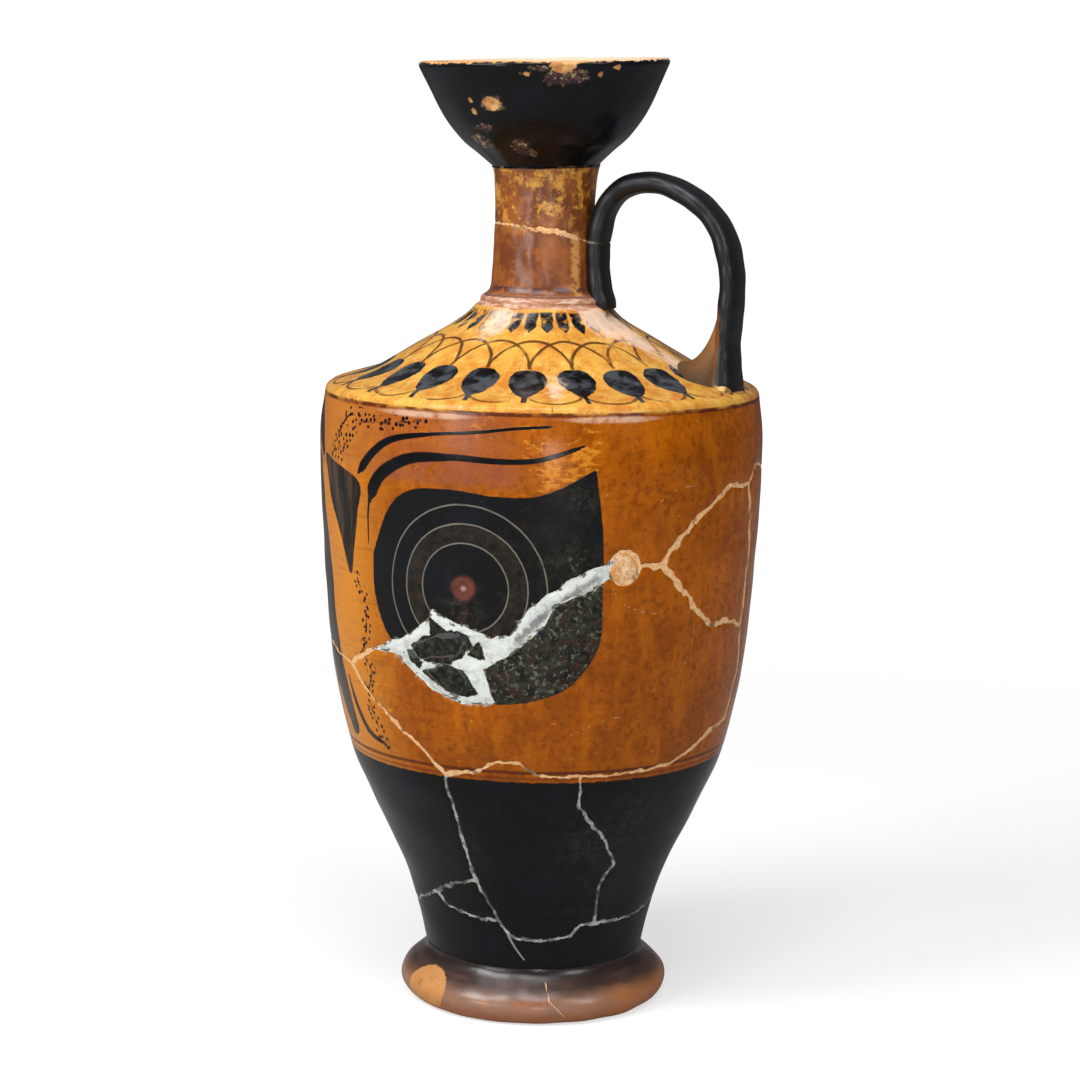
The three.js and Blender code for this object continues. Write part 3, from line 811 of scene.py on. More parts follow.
# Wear and small marks of the wall: angle, height, radius and strength
SLIP_WEAR = [
    (-60, 125.5, 4.5, 0.75), (-62, 112, 7, 0.7), (-90, 99.5, 6, 0.7), (-78, 104, 4, 0.4), (-72, 118, 5, 0.35),
    (-52, 45, 9, 0.55), (-36, 50, 8, 0.5), (-47, 33, 8, 0.3), (-95, 40, 7, 0.25), (150, 40, 14, 0.4),
    (80, 110, 12, 0.45), (100, 92, 10, 0.4), (-160, 100, 14, 0.3),
]
OCHRE_WEAR = [
    (-66, 131.5, 6, 1.0), (-60, 134, 5, 0.9), (-71, 137.5, 4, 0.6), (-58, 140, 6, 0.5), (-84, 141.5, 6, 0.5),
    (-120, 76, 7, 0.6), (64, 128, 12, 0.7), (40, 95, 12, 0.5), (120, 75, 10, 0.6),
]
# Whitish wash on the shoulder, which in places, such as over the tongues at -104, also paints a highlight
SHOULDER_WASH_AND_HIGHLIGHT = [
    (-104, 161.5, 5, 0.75), (-84, 161.6, 3, 0.4), (-26, 161.8, 5, 1.0), (-12, 158, 5, 0.9),
    (-6, 151.5, 4.5, 0.8), (-66, 148.6, 3, 0.6), (130, 156, 6, 0.5),
]
# Fine lines on the wall: points and full width
HAIRLINES = [
    ([(-83, 21), (-78.5, 17), (-74, 14)], 0.55),
    ([(-52.3, 107), (-49, 102.6), (-44, 100.4), (-36, 99)], 0.3),
    ([(-40, 124), (-34, 127), (-25, 127.5)], 0.22),
    ([(-30, 84), (-26, 92), (-27, 101)], 0.22),
    ([(-62, 72), (-50, 76), (-40, 75)], 0.2),
    ([(-18, 104), (-14, 110), (-13, 118)], 0.2),
]
HAIRLINE_TAPER = 0.3  # share of the width that they lose towards their end
# Dark slip that shows through the plaster, round and between the sherds set in it
ISLANDS = [
    [(-105, 90.8), (-100.8, 93.4), (-96.4, 94.9), (-91.1, 95.6), (-87.6, 94.3), (-87.2, 92),
     (-90, 89.4), (-94, 87.4), (-101, 87.8)],
    [(-102, 85.5), (-94.4, 87.3), (-89.6, 86.6), (-87.8, 84.4), (-85.4, 81.2), (-89.1, 80.5), (-94, 81.6),
     (-98.4, 83.4)],
    [(-99, 98.2), (-93.6, 95.1), (-98.8, 93.8)],
    [(-85.3, 93.6), (-83.4, 89), (-89, 90)],
    [(-106.6, 90.2), (-104, 89.6), (-101.2, 86.8), (-102.7, 85.9), (-105.3, 87.6)],
]
PLASTER_STREAK = [(-75.5, 94.2), (-69, 99.4), (-63, 103.6), (-56, 108)]
# Places where a break gapes: angle, height, radius and extra half width
WIDE_BREAKS = [
    (-37, 110, 5, 0.8), (-32, 105, 4, 1.05), (-26, 100, 4, 0.8), (-19, 95.5, 5, 0.65),
    (-12, 95, 4, 0.45), (-34, 114, 5, 0.75), (-29, 119, 5, 0.6), (-15, 126, 8, 0.4), (0, 116, 9, 0.9),
    (0, 103, 7, 0.8), (2, 92, 6, 0.6), (3, 82, 6, 0.5), (1, 75, 5, 0.65), (-10, 69.5, 4.5, 0.65),
    (-20, 66, 4, 0.35), (-29, 63.7, 4, 0.2), (-97, 61.5, 3, 0.6), (-88, 62.5, 3, 0.4),
    (-113, 70, 4, 0.35), (-108, 67, 3, 0.3), (-126, 86, 7, 0.35), (-118, 88, 5, 0.3),
    (-119, 29, 2.5, 0.4), (-111, 31.5, 3, 0.3), (-95.5, 34, 3, 0.35), (-97, 47, 5, 0.12),
    (-53, 51, 4, 0.25), (-40, 37, 5, 0.25), (-90, 22.5, 3, 0.25), (-35, 23.5, 5, 0.2),
    (-75, 20.5, 5, 0.15),
]


def curve_at_heights(points, samples=60):
    return at_heights(spline(points, samples))


def pointed_leaf(turn, length, half_width):
    """Outline of one leaf of the fan, which starts at its centre."""
    t = np.linspace(0, 1, 16)
    swell = half_width * np.sin(np.pi * t ** 0.8)
    lift = math.radians(90 - turn)
    forward = lerp(4, length, t)
    sides = []
    for side in (1, -1):
        across = forward * math.cos(lift) - side * swell * math.sin(lift)
        up = forward * math.sin(lift) + side * swell * math.cos(lift)
        sides.append(np.stack([FAN_CENTRE[0] + np.degrees(across / FAN_RADIUS), FAN_CENTRE[1] + up], 1))
    return np.vstack([sides[0], sides[1][::-1]])


def stroke_values(surface, strokes, angles=None):
    """Signed offset across the nearest brush stroke and distance from it, as shares of its half width.

    Each stroke is its points, its full width and how much of that it loses towards its end. The offset
    keeps thin lines sharp between grid points, and the distance hides the places where its sign turns.
    """
    across_share, far_share = np.full((2, *surface.grid_angle.shape), FAR_SHARE)
    for points, width, taper in strokes:
        distance, across, along = line_distance(surface, curve_at_heights(points), angles)
        share = along / (along.max() or 1)
        half = width / 2 * (1 - taper * share)
        half = half * np.clip(share * 9 + 0.3, 0, 1) * np.clip((1 - share) * 12 + 0.2, 0, 1)
        half = np.maximum(half, THINNEST)
        closer = distance / half < far_share
        across_share = np.where(closer, np.clip(across / half, -FAR_SHARE, FAR_SHARE), across_share)
        far_share = np.where(closer, distance / half, far_share)
    return across_share, far_share


def spots(places):
    """Soft spots of the wall: each is an angle, a height, a radius in millimetres and a strength."""
    total = np.zeros(wall.grid_angle.shape)
    for angle, height, radius, strength in places:
        across = np.radians(wrapped(wall.grid_angle - angle)) * wall.grid_radius
        up = wall.grid_height - height
        total = np.maximum(total, strength * np.exp(-(across ** 2 + up ** 2) / radius ** 2))
    return total


def wall_values():
    """Numbers for the wall's paint, as grids."""
    folded = -np.abs(wall.grid_angle)
    eye = curve_at_heights(EYE_UPPER) + curve_at_heights(EYE_LOWER)[1:-1]
    across = np.radians(wrapped(folded - EYE_CENTRE[0])) * wall.grid_radius
    leaves = [at_heights(pointed_leaf(*leaf)) for leaf in FAN_LEAVES]
    leaves.append(curve_at_heights(HANGING_LEAF + HANGING_LEAF[:1])[:-1])
    plant = [region(wall, leaf, angles=folded) for leaf in leaves]
    for points, half in PLANT_STROKES:
        distance, _, along = line_distance(wall, curve_at_heights(points), folded)
        share = np.clip(along / along.max(), 0.02, 0.98)
        plant.append(half * (0.35 + 0.65 * np.sin(np.pi * share) ** 0.7) - distance)
    vines = [line_distance(wall, curve_at_heights(points, 30), folded)[0] for points in VINES]
    brows, brows_far = stroke_values(wall, BROW_STROKES, folded)
    hairline, hairline_far = stroke_values(wall, [(*line, HAIRLINE_TAPER) for line in HAIRLINES])
    return {
        "eye": region(wall, eye, angles=folded),
        "eye_radius": np.hypot(across, wall.grid_along - wall.along_at(EYE_CENTRE[1])),
        "brows": brows,
        "brows_far": brows_far,
        "hairline": hairline,
        "hairline_far": hairline_far,
        "abrasion": spots(SLIP_WEAR),
        "ochre": spots(OCHRE_WEAR),
        "wash_and_highlight": spots(SHOULDER_WASH_AND_HIGHLIGHT),
        "vine": np.min(vines, axis=0),
        "plant": np.max(plant, axis=0),
    }


def shoulder_paint(p):
    """Ink of the lotus buds and tongues, then of their thin lines, on the shoulder."""
    degrees = 360 / BUD_COUNT
    turn = (p.angle - BUD_START) / degrees + p.jitter(6, 31, 0.16)
    nearest = p.math("ROUND", turn)
    chance = p.node("TexWhiteNoise", W=nearest, noise_dimensions="1D")
    share = (p.radius - BUD_TOP - chance * 0.8) / (BUD_TIP - BUD_TOP)
    share_in = p.math("MINIMUM", p.math("MAXIMUM", share, 0.0001), 0.9999)
    off = abs(turn - nearest + (chance - 0.5) * 0.16 * (share - 0.4)) * math.radians(degrees) * p.radius
    bud_width = share_in ** 0.44 * (1 - share_in) ** 0.85 * (9.1 + chance * 1.2)
    shaky = p.jitter(1.6, 12, 0.9, 4)
    bud = p.rise(off - bud_width + shaky, 0.12, -0.12)
    bud = bud * p.rise(share, -0.02, 0.03) * p.rise(share, 1.02, 0.99)
    stem = p.rise(off + shaky * 0.4, 0.75, 0.5) * p.rise(share, 0.86, 0.9)
    stem = stem * p.rise(p.radius, STEM_END, STEM_END - 0.4)

    def arc(across, up, size, low, high):
        """Line along a half circle between two buds, drawn out to the given size."""
        return p.rise(abs(p.math("SQRT", across * across + up * up) - 1) * size + shaky * 0.3, low, high)

    lift = (BUD_TOP - p.radius) / (BUD_TOP - ARC_TOP)
    fraction = turn - p.math("FLOOR", turn)
    arcs = p.most(arc(fraction, lift, 9, 0.56, 0.22), arc(1 - fraction, lift, 9, 0.56, 0.22))
    arcs = arcs * p.rise(lift, -0.06, 0.02)
    drop = (p.radius - GARLAND_TOP) / (STEM_END - GARLAND_TOP)
    garland = arc(abs(fraction - 0.5) / 0.5, drop, 5.6, 0.52, 0.2) * p.rise(drop, 0, 0.1)
    lost = p.clouds(9, 3, 0.36, 0.5, 4)
    thin = p.most(arcs * (0.55 + lost * 0.45), garland * lost * 0.85)
    degrees = 360 / TONGUE_COUNT
    turn = p.angle / degrees
    off = abs(turn - p.math("ROUND", turn)) * math.radians(degrees) * p.radius
    length = (p.radius - TONGUE_TOP) / (TONGUE_TIP - TONGUE_TOP)
    tongue_width = 1.35 - p.rise(length, 0.6, 1.05) * 1.4
    tongue = p.rise(off - tongue_width + shaky, 0.15, -0.15) * p.rise(length, 0, 0.08)
    return p.most(bud, stem, tongue * p.clouds(3.5, 8, 0.36, 0.5, 4)), thin


class WallPaint(Paint):
    """Satin orange clay with the figures of the wall and shoulder in glossy black slip."""

    def __init__(self):
        super().__init__("painted_wall")
        self.eye, self.eye_radius, self.abraded = map(self.value, ("eye", "eye_radius", "abrasion"))
        self.on_shoulder = self.rise(self.z, SHOULDER_HEIGHT + 0.1, SHOULDER_HEIGHT + 0.7)
        self.shaky = self.jitter(2.2, 5, 0.7)
        self.cloud = self.noise(24, 2, 4, 0.6)
        self.mottle = self.noise(3, 7, 5, 0.7)
        self.marks = self.wheel_marks(1.1)

    def level_line(self, height, shake, low, high):
        """Line round the vessel at one height."""
        return self.rise(abs(self.z - height + self.shaky * shake), low, high)

    def drawn_out(self, size, offset, detail, roughness, around, up):
        """Noise on the unrolled wall, squeezed round the axis and upwards by the given shares."""
        return self.noise(size, offset, detail, roughness, self.combine(self.angle * around, self.z * up))

    def draw(self):
        """Finds where the slip lies."""
        fine = self.jitter(0.45, 9, 0.3, 2)
        edge = self.shaky * 0.5 + fine
        figures, self.thin = shoulder_paint(self)
        self.eye_ink = self.rise(self.eye + edge, -0.1, 0.15)
        self.plant_ink = self.rise(self.value("plant") + edge, -0.1, 0.15)
        self.black_wall = self.rise(self.z + self.shaky * 1.1 + fine, BAND_HEIGHT + 0.2, BAND_HEIGHT - 0.25)
        vine = self.value("vine") + self.shaky
        dots = self.flat_specks(1.6, 0.5, 0.7) * self.rise(vine, 1.9, 1.5)
        vine_line = self.rise(vine, 0.45, 0.15) * self.clouds(2.5, 6, 0.4, 0.55)
        brows = self.stroke("brows", self.shaky * 0.3)
        on_wall = self.most(self.eye_ink, brows, self.plant_ink, dots, vine_line, self.black_wall)
        self.ink = self.most(on_wall * (1 - self.on_shoulder), figures * self.on_shoulder)

    def clay(self):
        """Deep orange with darker clouds, paler beside the eyes and there partly painted light, worn to
        ochre; yellow on the shoulder.
        """
        folded = 0 - abs(self.angle)
        # Paler clay round the -X side: partly the clay's own tone, partly painted light of the lamp on that
        # side
        pale_and_lit = self.rise(folded + self.cloud * 16 + self.mottle * 14, -90, -118)
        worn = self.drawn_out(1.7, 25, 6, 0.8, 0.45, 1) + self.value("ochre") * 0.2
        # Purplish clay between the brows, which also paints the sheen of a highlight there
        purple_and_sheen = self.rise(self.eye, -8.5, -6) * self.rise(self.z, 126.5, 129.5) * self.rise(folded, -70, -80)
        edge_line = self.level_line(SHOULDER_HEIGHT + 0.35, 0.6, 0.6, 0.3)
        edge_line = edge_line * (0.35 + self.clouds(5, 27, 0.4, 0.55, 4) * 0.6)
        band_line = self.level_line(BAND_HEIGHT + 2.3, 0.4, 0.5, 0.25)
        low_line = self.level_line(BAND_HEIGHT + 0.8, 0.4, 0.45, 0.2)
        return self.layers(
            DARK_ORANGE,
            (self.rise(self.cloud, 0.36, 0.6) * 0.6 + 0.4, DEEP_ORANGE),
            (self.rise(self.mottle, 0.5, 0.8) * 0.55, WARM_ORANGE),
            (self.clouds(7, 13, 0.44, 0.64, 4, 0.65) * 0.4, WARM_ORANGE),
            (self.clouds(1.7, 11, 0.46, 0.62, 5, 0.7) * 0.75, DARK_ORANGE),
            (self.rise(self.drawn_out(5, 24, 4, 0.65, 1, 0.4), 0.48, 0.68) * 0.42, (190, 104, 8)),
            (pale_and_lit * (0.62 + self.mottle * 0.5), LIGHT_ORANGE),
            (self.rise(worn, 0.62, 0.7) * 0.8, LIGHT_ORANGE),
            (self.rise(self.marks, 0.52, 0.72) * 0.3, DARK_ORANGE),
            (purple_and_sheen * 0.65 * self.rise(self.mottle, 0.3, 0.5), PURPLE_CLAY_AND_SHEEN),
            (self.on_shoulder, self.layers(
                (186, 116, 42),
                (self.clouds(5, 17, 0.36, 0.62, 5, 0.7), OCHRE),
                (self.clouds(2.5, 19, 0.52, 0.72, 5, 0.7) * 0.6, PALE_OCHRE),
                (self.clouds(1, 21, 0.55, 0.7, 5, 0.75) * 0.5, WARM_ORANGE),
            )),
            (self.most(edge_line, band_line * 0.85, low_line * 0.5), MAROON),
            (self.thin * self.on_shoulder * 0.9, LINE_BROWN),
        )

    def rings(self):
        """Rings scratched into the eye, lost where it is abraded."""
        lines = [self.rise(abs(self.eye_radius - ring + self.shaky * 0.3), 0.25, 0.08) for ring in RINGS]
        kept = self.clouds(3, 45, 0.3, 0.5, 4, 0.7) * 0.5 + 0.45
        return self.most(*lines) * self.eye_ink * self.rise(self.abraded, 0.75, 0.4) * kept

    def slip(self, rings):
        """Black, bluish where thick, brown and green and chalky where abraded, painted grey-blue sheen on the
        shoulder; the pupil is red with a painted highlight.
        """
        blotch = self.noise(2.3, 37, 6, 0.75)
        brown = self.noise(2.6, 43, 5, 0.7) + self.abraded * 0.06
        grained = self.drawn_out(4, 44, 4, 0.65, 1, 0.2)
        brown_ring = self.rise(self.eye_radius, RINGS[0], RINGS[0] + 0.6)
        brown_ring = brown_ring * self.rise(self.eye_radius, RINGS[1], RINGS[1] - 0.6) * self.eye_ink
        pupil = self.rise(self.eye_radius + self.shaky * 1.4, PUPIL_RADIUS + 0.5, PUPIL_RADIUS - 0.9)
        flecks = self.noise(1, 47, 4, 0.7) + self.abraded * 0.05 + self.jitter(4.5, 48, 0.3, 4, 0.7)
        flecks = self.rise(flecks, 0.6, 0.7) * (0.04 + self.rise(self.abraded, 0.35, 1) * 0.8)
        return self.layers(
            SLIP,
            (self.clouds(13, 29, 0.45, 0.7) * 0.5, SLIP_BLUE),
            (self.rise(blotch + self.abraded * 0.1, 0.5, 0.72) * (self.abraded * 0.85 + 0.08), SLIP_GREEN),
            (self.rise(brown, 0.54, 0.68) * self.abraded, SLIP_BROWN),
            (self.plant_ink * self.rise(grained, 0.3, 0.6) * 0.8,
             self.mix(self.rise(grained, 0.4, 0.7), (34, 27, 23), (88, 64, 46))),
            # Grey-blue clouds on the shoulder's slip: a painted sheen of the lamp over the buds
            (self.clouds(4.2, 46, 0.4, 0.64, 3, 0.6) * self.on_shoulder * 0.55, (84, 88, 94)),
            (brown_ring * self.rise(blotch, 0.3, 0.7) * 0.7, (56, 46, 36)),
            (pupil, self.mix(self.rise(self.mottle, 0.4, 0.7), PUPIL_RED, (66, 36, 30))),
            # Pale dot in the middle of the pupil: a painted highlight
            (self.rise(self.eye_radius + self.shaky, 1, 0.1) * 0.6, (196, 166, 152)),
            (rings, INCISED),
            (flecks, SLIP_GREY),
        )

    def whole(self):
        """Clay and slip with the wash and a worn edge, both partly painted highlight, chipped edges of the
        breaks, plaster dust, scratches and specks.
        """
        self.draw()
        rings = self.rings()
        # A pale worn line under the shoulder's edge, strongest at two places where it also paints the
        # highlight of the lamps on that edge
        rubbed_and_highlight_at = self.most(self.rise(abs(self.angle + 52), 17, 5), self.rise(abs(self.angle + 101), 19, 5))
        rubbed_and_highlight = self.level_line(SHOULDER_HEIGHT - 0.6, 0.5, rubbed_and_highlight_at * 0.9 + 0.1, rubbed_and_highlight_at * 0.3)
        wash_and_highlight = self.rise(self.value("wash_and_highlight") + self.jitter(2, 57, 1, 5, 0.7), 0.25, 0.75)
        chipped = self.rise(self.noise(0.9, 59, 4, 0.75) * 1.5 - self.value("crack") * 0.75, 0.62, 0.74)
        crack_tone = self.mix(self.rise(self.mottle, 0.35, 0.6), (196, 130, 70), CREAM)
        crack_tone = self.mix(self.black_wall, crack_tone, (128, 130, 122))
        dust = self.rise(self.noise(1.5, 63, 3, 0.6) * 1.3 - self.value("dust") * 0.24, 0.58, 0.78)
        scratch = self.stroke("hairline", self.shaky * 0.5)
        specks = self.clouds(0.6, 39, 0.69, 0.74, 3, 0.7) * self.clouds(15, 41, 0.45, 0.6)
        colour = self.layers(
            self.mix(self.ink, self.clay(), self.slip(rings)),
            (wash_and_highlight * 0.75, (230, 200, 178)),
            (rubbed_and_highlight * rubbed_and_highlight_at * self.rise(self.mottle, 0.25, 0.5) * 0.5, (226, 196, 170)),
            (chipped * (0.75 - self.black_wall * 0.25), crack_tone),
            (dust * 0.6, (170, 172, 162)),
            (scratch * (0.4 + self.black_wall * 0.3), self.mix(self.black_wall, CREAM, (150, 156, 150))),
            (specks * (0.6 - self.ink * 0.5), CREAM),
        )
        bare = self.most(chipped, dust, specks, wash_and_highlight * 0.7)
        roughness = 0.2 - self.ink * 0.01 + self.ink * self.abraded * 0.24 + self.mottle * 0.05 + bare * 0.2
        height = (self.ink * 0.03 + self.marks * 0.018 + self.noise(0.8, 51) * 0.012 - rings * 0.06
                  + self.cloud * 0.2 + specks * 0.04 - chipped * 0.12 - scratch * 0.05)
        return self.finish(colour, roughness, height)


def neck_paint():
    p = Paint("neck_clay")
    cloud = p.noise(6, 61, 5, 0.65)
    marks = p.wheel_marks(1.4, 5)
    fine = p.noise(1.6, 63, 5, 0.75)
    strip = p.rise(abs(p.angle + 33 + fine * 16 - 8), 8, 3) * p.rise(p.z, 182, 180)
    ring = p.rise(p.z, NECK_START + 3, NECK_START + 2.2)
    # Streaks along the moulded ring that pick its pale parts: a painted highlight
    ring_highlight_streaks = p.noise(1.2, 65, 4, 0.7, p.combine(p.angle * 0.07, p.z))
    groove = p.rise(abs(p.z - NECK_START - 2.7 + fine * 0.5), 0.35, 0.15)
    dashes = p.rise(abs(p.z - NECK_START - 4), 0.75, 0.45) * p.clouds(2.2, 71, 0.42, 0.5, 2)
    clay = p.layers(
        (106, 54, 22),
        (p.rise(cloud, 0.4, 0.62), (142, 78, 28)),
        (p.rise(fine, 0.52, 0.7) * 0.5, (186, 112, 40)),
        (p.clouds(4.5, 67, 0.48, 0.6, 5, 0.75) * p.rise(p.z, 180, 186) * 0.9, (212, 150, 56)),
        (strip * p.rise(fine, 0.34, 0.5) * 0.9, (204, 148, 84)),
        (p.rise(marks, 0.5, 0.7) * 0.35, (100, 50, 24)),
        # The ring's pinkish clay, with pale streaks that are painted highlight
        (ring * 0.85, p.mix(p.rise(ring_highlight_streaks, 0.4, 0.64), (164, 108, 78), (218, 184, 160))),
        (groove * 0.8, (92, 48, 36)),
        (dashes * 0.85, (66, 34, 40)),
        (p.rise(p.z, MOUTH_START - 1, MOUTH_START - 0.3) * 0.8, SLIP),
    )
    height = marks * 0.025 + cloud * 0.08 + p.noise(0.8, 73) * 0.015
    return p.finish(clay, 0.31 + cloud * 0.08, height, 0.5)


def gloss(p, wear):
    """Black slip with a bluish sheen, worn to clay in small places: colour, roughness to add and height."""
    cloud = p.noise(11, 81, 4, 0.6)
    flecks = p.rise(p.noise(0.9, 87, 5, 0.8), 0.7 - wear, 0.76 - wear)
    colour = p.layers(
        SLIP,
        (p.rise(cloud, 0.42, 0.68) * 0.6, SLIP_BLUE),
        (p.clouds(2.6, 83, 0.6, 0.75, 5, 0.7) * 0.2, SLIP_BROWN),
        (flecks * 0.6, (120, 96, 72)),
    )
    return colour, cloud * 0.08 + flecks * 0.2, cloud * 0.25 + p.noise(1.6, 89) * 0.02 - flecks * 0.02


def strap_paint():
    p = Paint("handle_slip")
    colour, roughness, height = gloss(p, 0.02)
    inner = p.rise(p.value("inner_face") + p.jitter(2.5, 84, 0.8, 4, 0.7), 0.25, 0.75)
    return p.finish(p.mix(inner * 0.9, colour, (112, 66, 30)), 0.36 + roughness, height, 0.4)


def mouth_paint():
    """Black slip with chips down to the clay and purple scuffs."""
    p = Paint("mouth_slip")
    colour, roughness, height = gloss(p, 0.05)
    bare = p.rise(p.value("chip") + p.jitter(1.7, 91, 2.2, 5, 0.75), -0.1, 0.12)
    torn = p.noise(2, 97, 4, 0.68)
    scuff = p.rise(p.value("scuff") + torn * 3 - 1.6, -0.2, 0.5)
    scuff_tone = p.mix(p.rise(torn, 0.46, 0.62), (58, 42, 48), (112, 82, 70))
    scuff_tone = p.mix(p.clouds(1, 99, 0.56, 0.64, 2, 0.6), scuff_tone, (176, 158, 116))
    worn = p.mix(p.clouds(1.6, 93, 0.4, 0.62, 4), (180, 120, 70), (214, 166, 106))
    worn = p.mix(p.rise(p.z + torn, 219.4, 220.4) * 0.75, worn, (224, 196, 168))
    colour = p.layers(colour, (scuff * 0.85, scuff_tone), (bare, worn))
    return p.finish(colour, 0.2 + roughness + bare * 0.3, height - bare * 0.12)


def foot_paint():
    p = Paint("foot_slip")
    cloud = p.noise(7, 101, 4, 0.6)
    fine = p.noise(2.2, 109, 5, 0.75)
    marks = p.wheel_marks(1, 15)
    clouded = p.z + cloud * 4 - 2
    # A pinkish-grey band over the bulge: partly wear, partly a painted highlight of the top lamp
    rubbed_and_highlight = p.rise(clouded, 8.5, 4.5)
    low = p.rise(p.z + fine * 1.4 + cloud * 3 - 2.2, 3.2, -0.6)
    rim = p.rise(cloud + fine * 0.3, 0.62, 0.86) * p.rise(p.radius, 30, 31.4) * 0.6
    chip = p.rise(p.value("chip") + fine * 1.6 - 0.8, -0.1, 0.15)
    crack = p.stroke("crack", p.jitter(0.9, 117, 0.8))
    # Dark slip round the joint with the wall, which also paints the shade where the foot meets it
    joint = p.rise(p.radius - cloud * 2, FOOT_JOINT_RADIUS + 1.2, FOOT_JOINT_RADIUS - 0.6)
    colour = p.layers(
        (50, 36, 32),
        (p.rise(cloud, 0.4, 0.65), (72, 50, 43)),
        (p.rise(marks, 0.5, 0.7) * 0.35, (100, 72, 60)),
        (rubbed_and_highlight * 0.62, (164, 122, 98)),
        (p.rise(clouded, 4, 1.4) * 0.75, (142, 78, 34)),
        (p.rise(p.angle + fine * 20 - 10, -50, -22) * rubbed_and_highlight * 0.6, (172, 98, 34)),
        (p.most(low, rim) * 0.85, p.mix(p.rise(fine, 0.4, 0.6), (158, 84, 28), (180, 104, 42))),
        (chip, p.mix(p.rise(fine, 0.5, 0.7), (188, 130, 72), (170, 106, 48))),
        (crack * 0.65, CREAM),
        (joint * 0.7, SLIP),
    )
    height = cloud * 0.15 + marks * 0.03 - chip * 0.06 - crack * 0.08
    return p.finish(colour, 0.25 + chip * 0.3 + low * 0.05 + cloud * 0.08, height, 0.45)


def bare_clay():
    """Broken and inner faces."""
    p = Paint("clay_core")
    grain = p.noise(1.2, 121, 6, 0.75)
    colour = p.mix(p.rise(grain, 0.35, 0.65), CLAY_CORE, (188, 112, 56))
    colour = p.mix(p.clouds(9, 123, 0.45, 0.7) * 0.5, colour, (160, 96, 56))
    return p.finish(colour, 0.85, grain * 0.2)


def patch_paint():
    """Round fill: cream, with white and orange clouds."""
    p = Paint("patch_fill")
    grain = p.noise(1, 131, 5, 0.75)
    colour = p.layers(
        (232, 204, 166),
        (p.clouds(3.2, 133, 0.4, 0.56, 4, 0.65), (206, 142, 78)),
        (p.rise(grain, 0.54, 0.66) * 0.6, (240, 226, 204)),
        (p.clouds(1.7, 136, 0.6, 0.7, 4, 0.7) * 0.7, (150, 84, 34)),
    )
    return p.finish(colour, 0.8, grain * 0.3)


def abraded_slip(p, blotch, *more):
    """Black slip rubbed to green in blotches, then any other layers, then grey clouds."""
    return p.layers(
        SLIP,
        (p.rise(blotch, 0.45, 0.62), SLIP_GREEN),
        *more,
        (p.clouds(0.7, 147, 0.6, 0.7, 4, 0.8) * 0.7, SLIP_GREY),
    )


def eye_plaster_paint():
    """White plaster of the large fill, with dark slip showing through it."""
    p = Paint("eye_plaster")
    grain = p.noise(0.9, 131, 5, 0.7)
    soil = p.noise(4, 133, 5, 0.7)
    streak = p.rise(p.noise(1.6, 135, 5, 0.75) * 5 - 2.6 - p.value("streak"), -1.4, -0.2)
    dark = p.rise(p.value("island") + p.jitter(1.4, 137, 1.6, 4, 0.65), -0.12, 0.12)
    near_edge = p.rise(p.noise(2.4, 139, 3, 0.6) * 1.7 - p.value("edge") * 0.4, 0.9, 1)
    colour = p.layers(
        PLASTER,
        (p.rise(soil, 0.46, 0.7) * 0.7, PLASTER_SHADE),
        (p.rise(grain, 0.56, 0.7) * 0.5, (128, 122, 112)),
        (streak * 0.75, (92, 90, 88)),
        (near_edge * 0.85, PLASTER_EDGE),
        (dark, abraded_slip(p, p.noise(1.6, 141, 6, 0.75))),
    )
    return p.finish(colour, 0.8 - dark * 0.3, grain * 0.2 + soil * 0.3 - dark * 0.1)


def island_paint():
    """Abraded black slip of the two sherds set in the plaster."""
    p = Paint("abraded_slip")
    blotch = p.noise(1.6, 141, 6, 0.75)
    colour = abraded_slip(p, blotch, (p.clouds(1.1, 143, 0.55, 0.7, 5, 0.75) * 0.8, SLIP_BROWN))
    chipped = p.rise(p.noise(0.8, 149, 4, 0.75) * 1.5 - p.value("crack") * 1.1, 0.75, 0.9)
    return p.finish(p.mix(chipped * 0.15, colour, (150, 152, 140)), 0.45, blotch * 0.2)


def root_paint():
    """Fill of the handle's root: cream at the sides, brown clay inside darkening to painted shade below,
    black on its outer face.
    """
    p = Paint("root_fill")
    soft = p.noise(3, 161, 5, 0.7)
    outer = p.rise(p.x + soft * 5, 48.4, 50.2)
    colour = p.layers(
        CREAM,
        (p.rise(soft, 0.35, 0.6), OCHRE),
        (p.clouds(1.4, 163, 0.5, 0.66, 5, 0.75) * 0.6, (176, 108, 44)),
        # Brown clay inside the root, darkening towards the shoulder: a dark smear and painted shade under the
        # strap
        (p.rise(p.x + soft * 3, 47, 44.5) * 0.95,
         p.mix(p.rise(p.z + soft * 8, 164, 152), (128, 82, 42), (48, 29, 17))),
        (outer, SLIP),
        (p.clouds(1.2, 167, 0.6, 0.68, 5, 0.8) * 0.7, (60, 40, 28)),
    )
    return p.finish(colour, 0.55 - outer * 0.2, soft * 0.5)


def handle_joint_paint():
    """Filling of the strap's break: pale by the neck, dark round the rest."""
    p = Paint("handle_joint_fill")
    grain = p.noise(1, 171, 5, 0.75)
    pale = p.rise(p.x + grain * 3, 16.5, 14)
    return p.finish(p.mix(pale * 0.8, (46, 42, 38), (150, 136, 116)), 0.85, grain * 0.2)


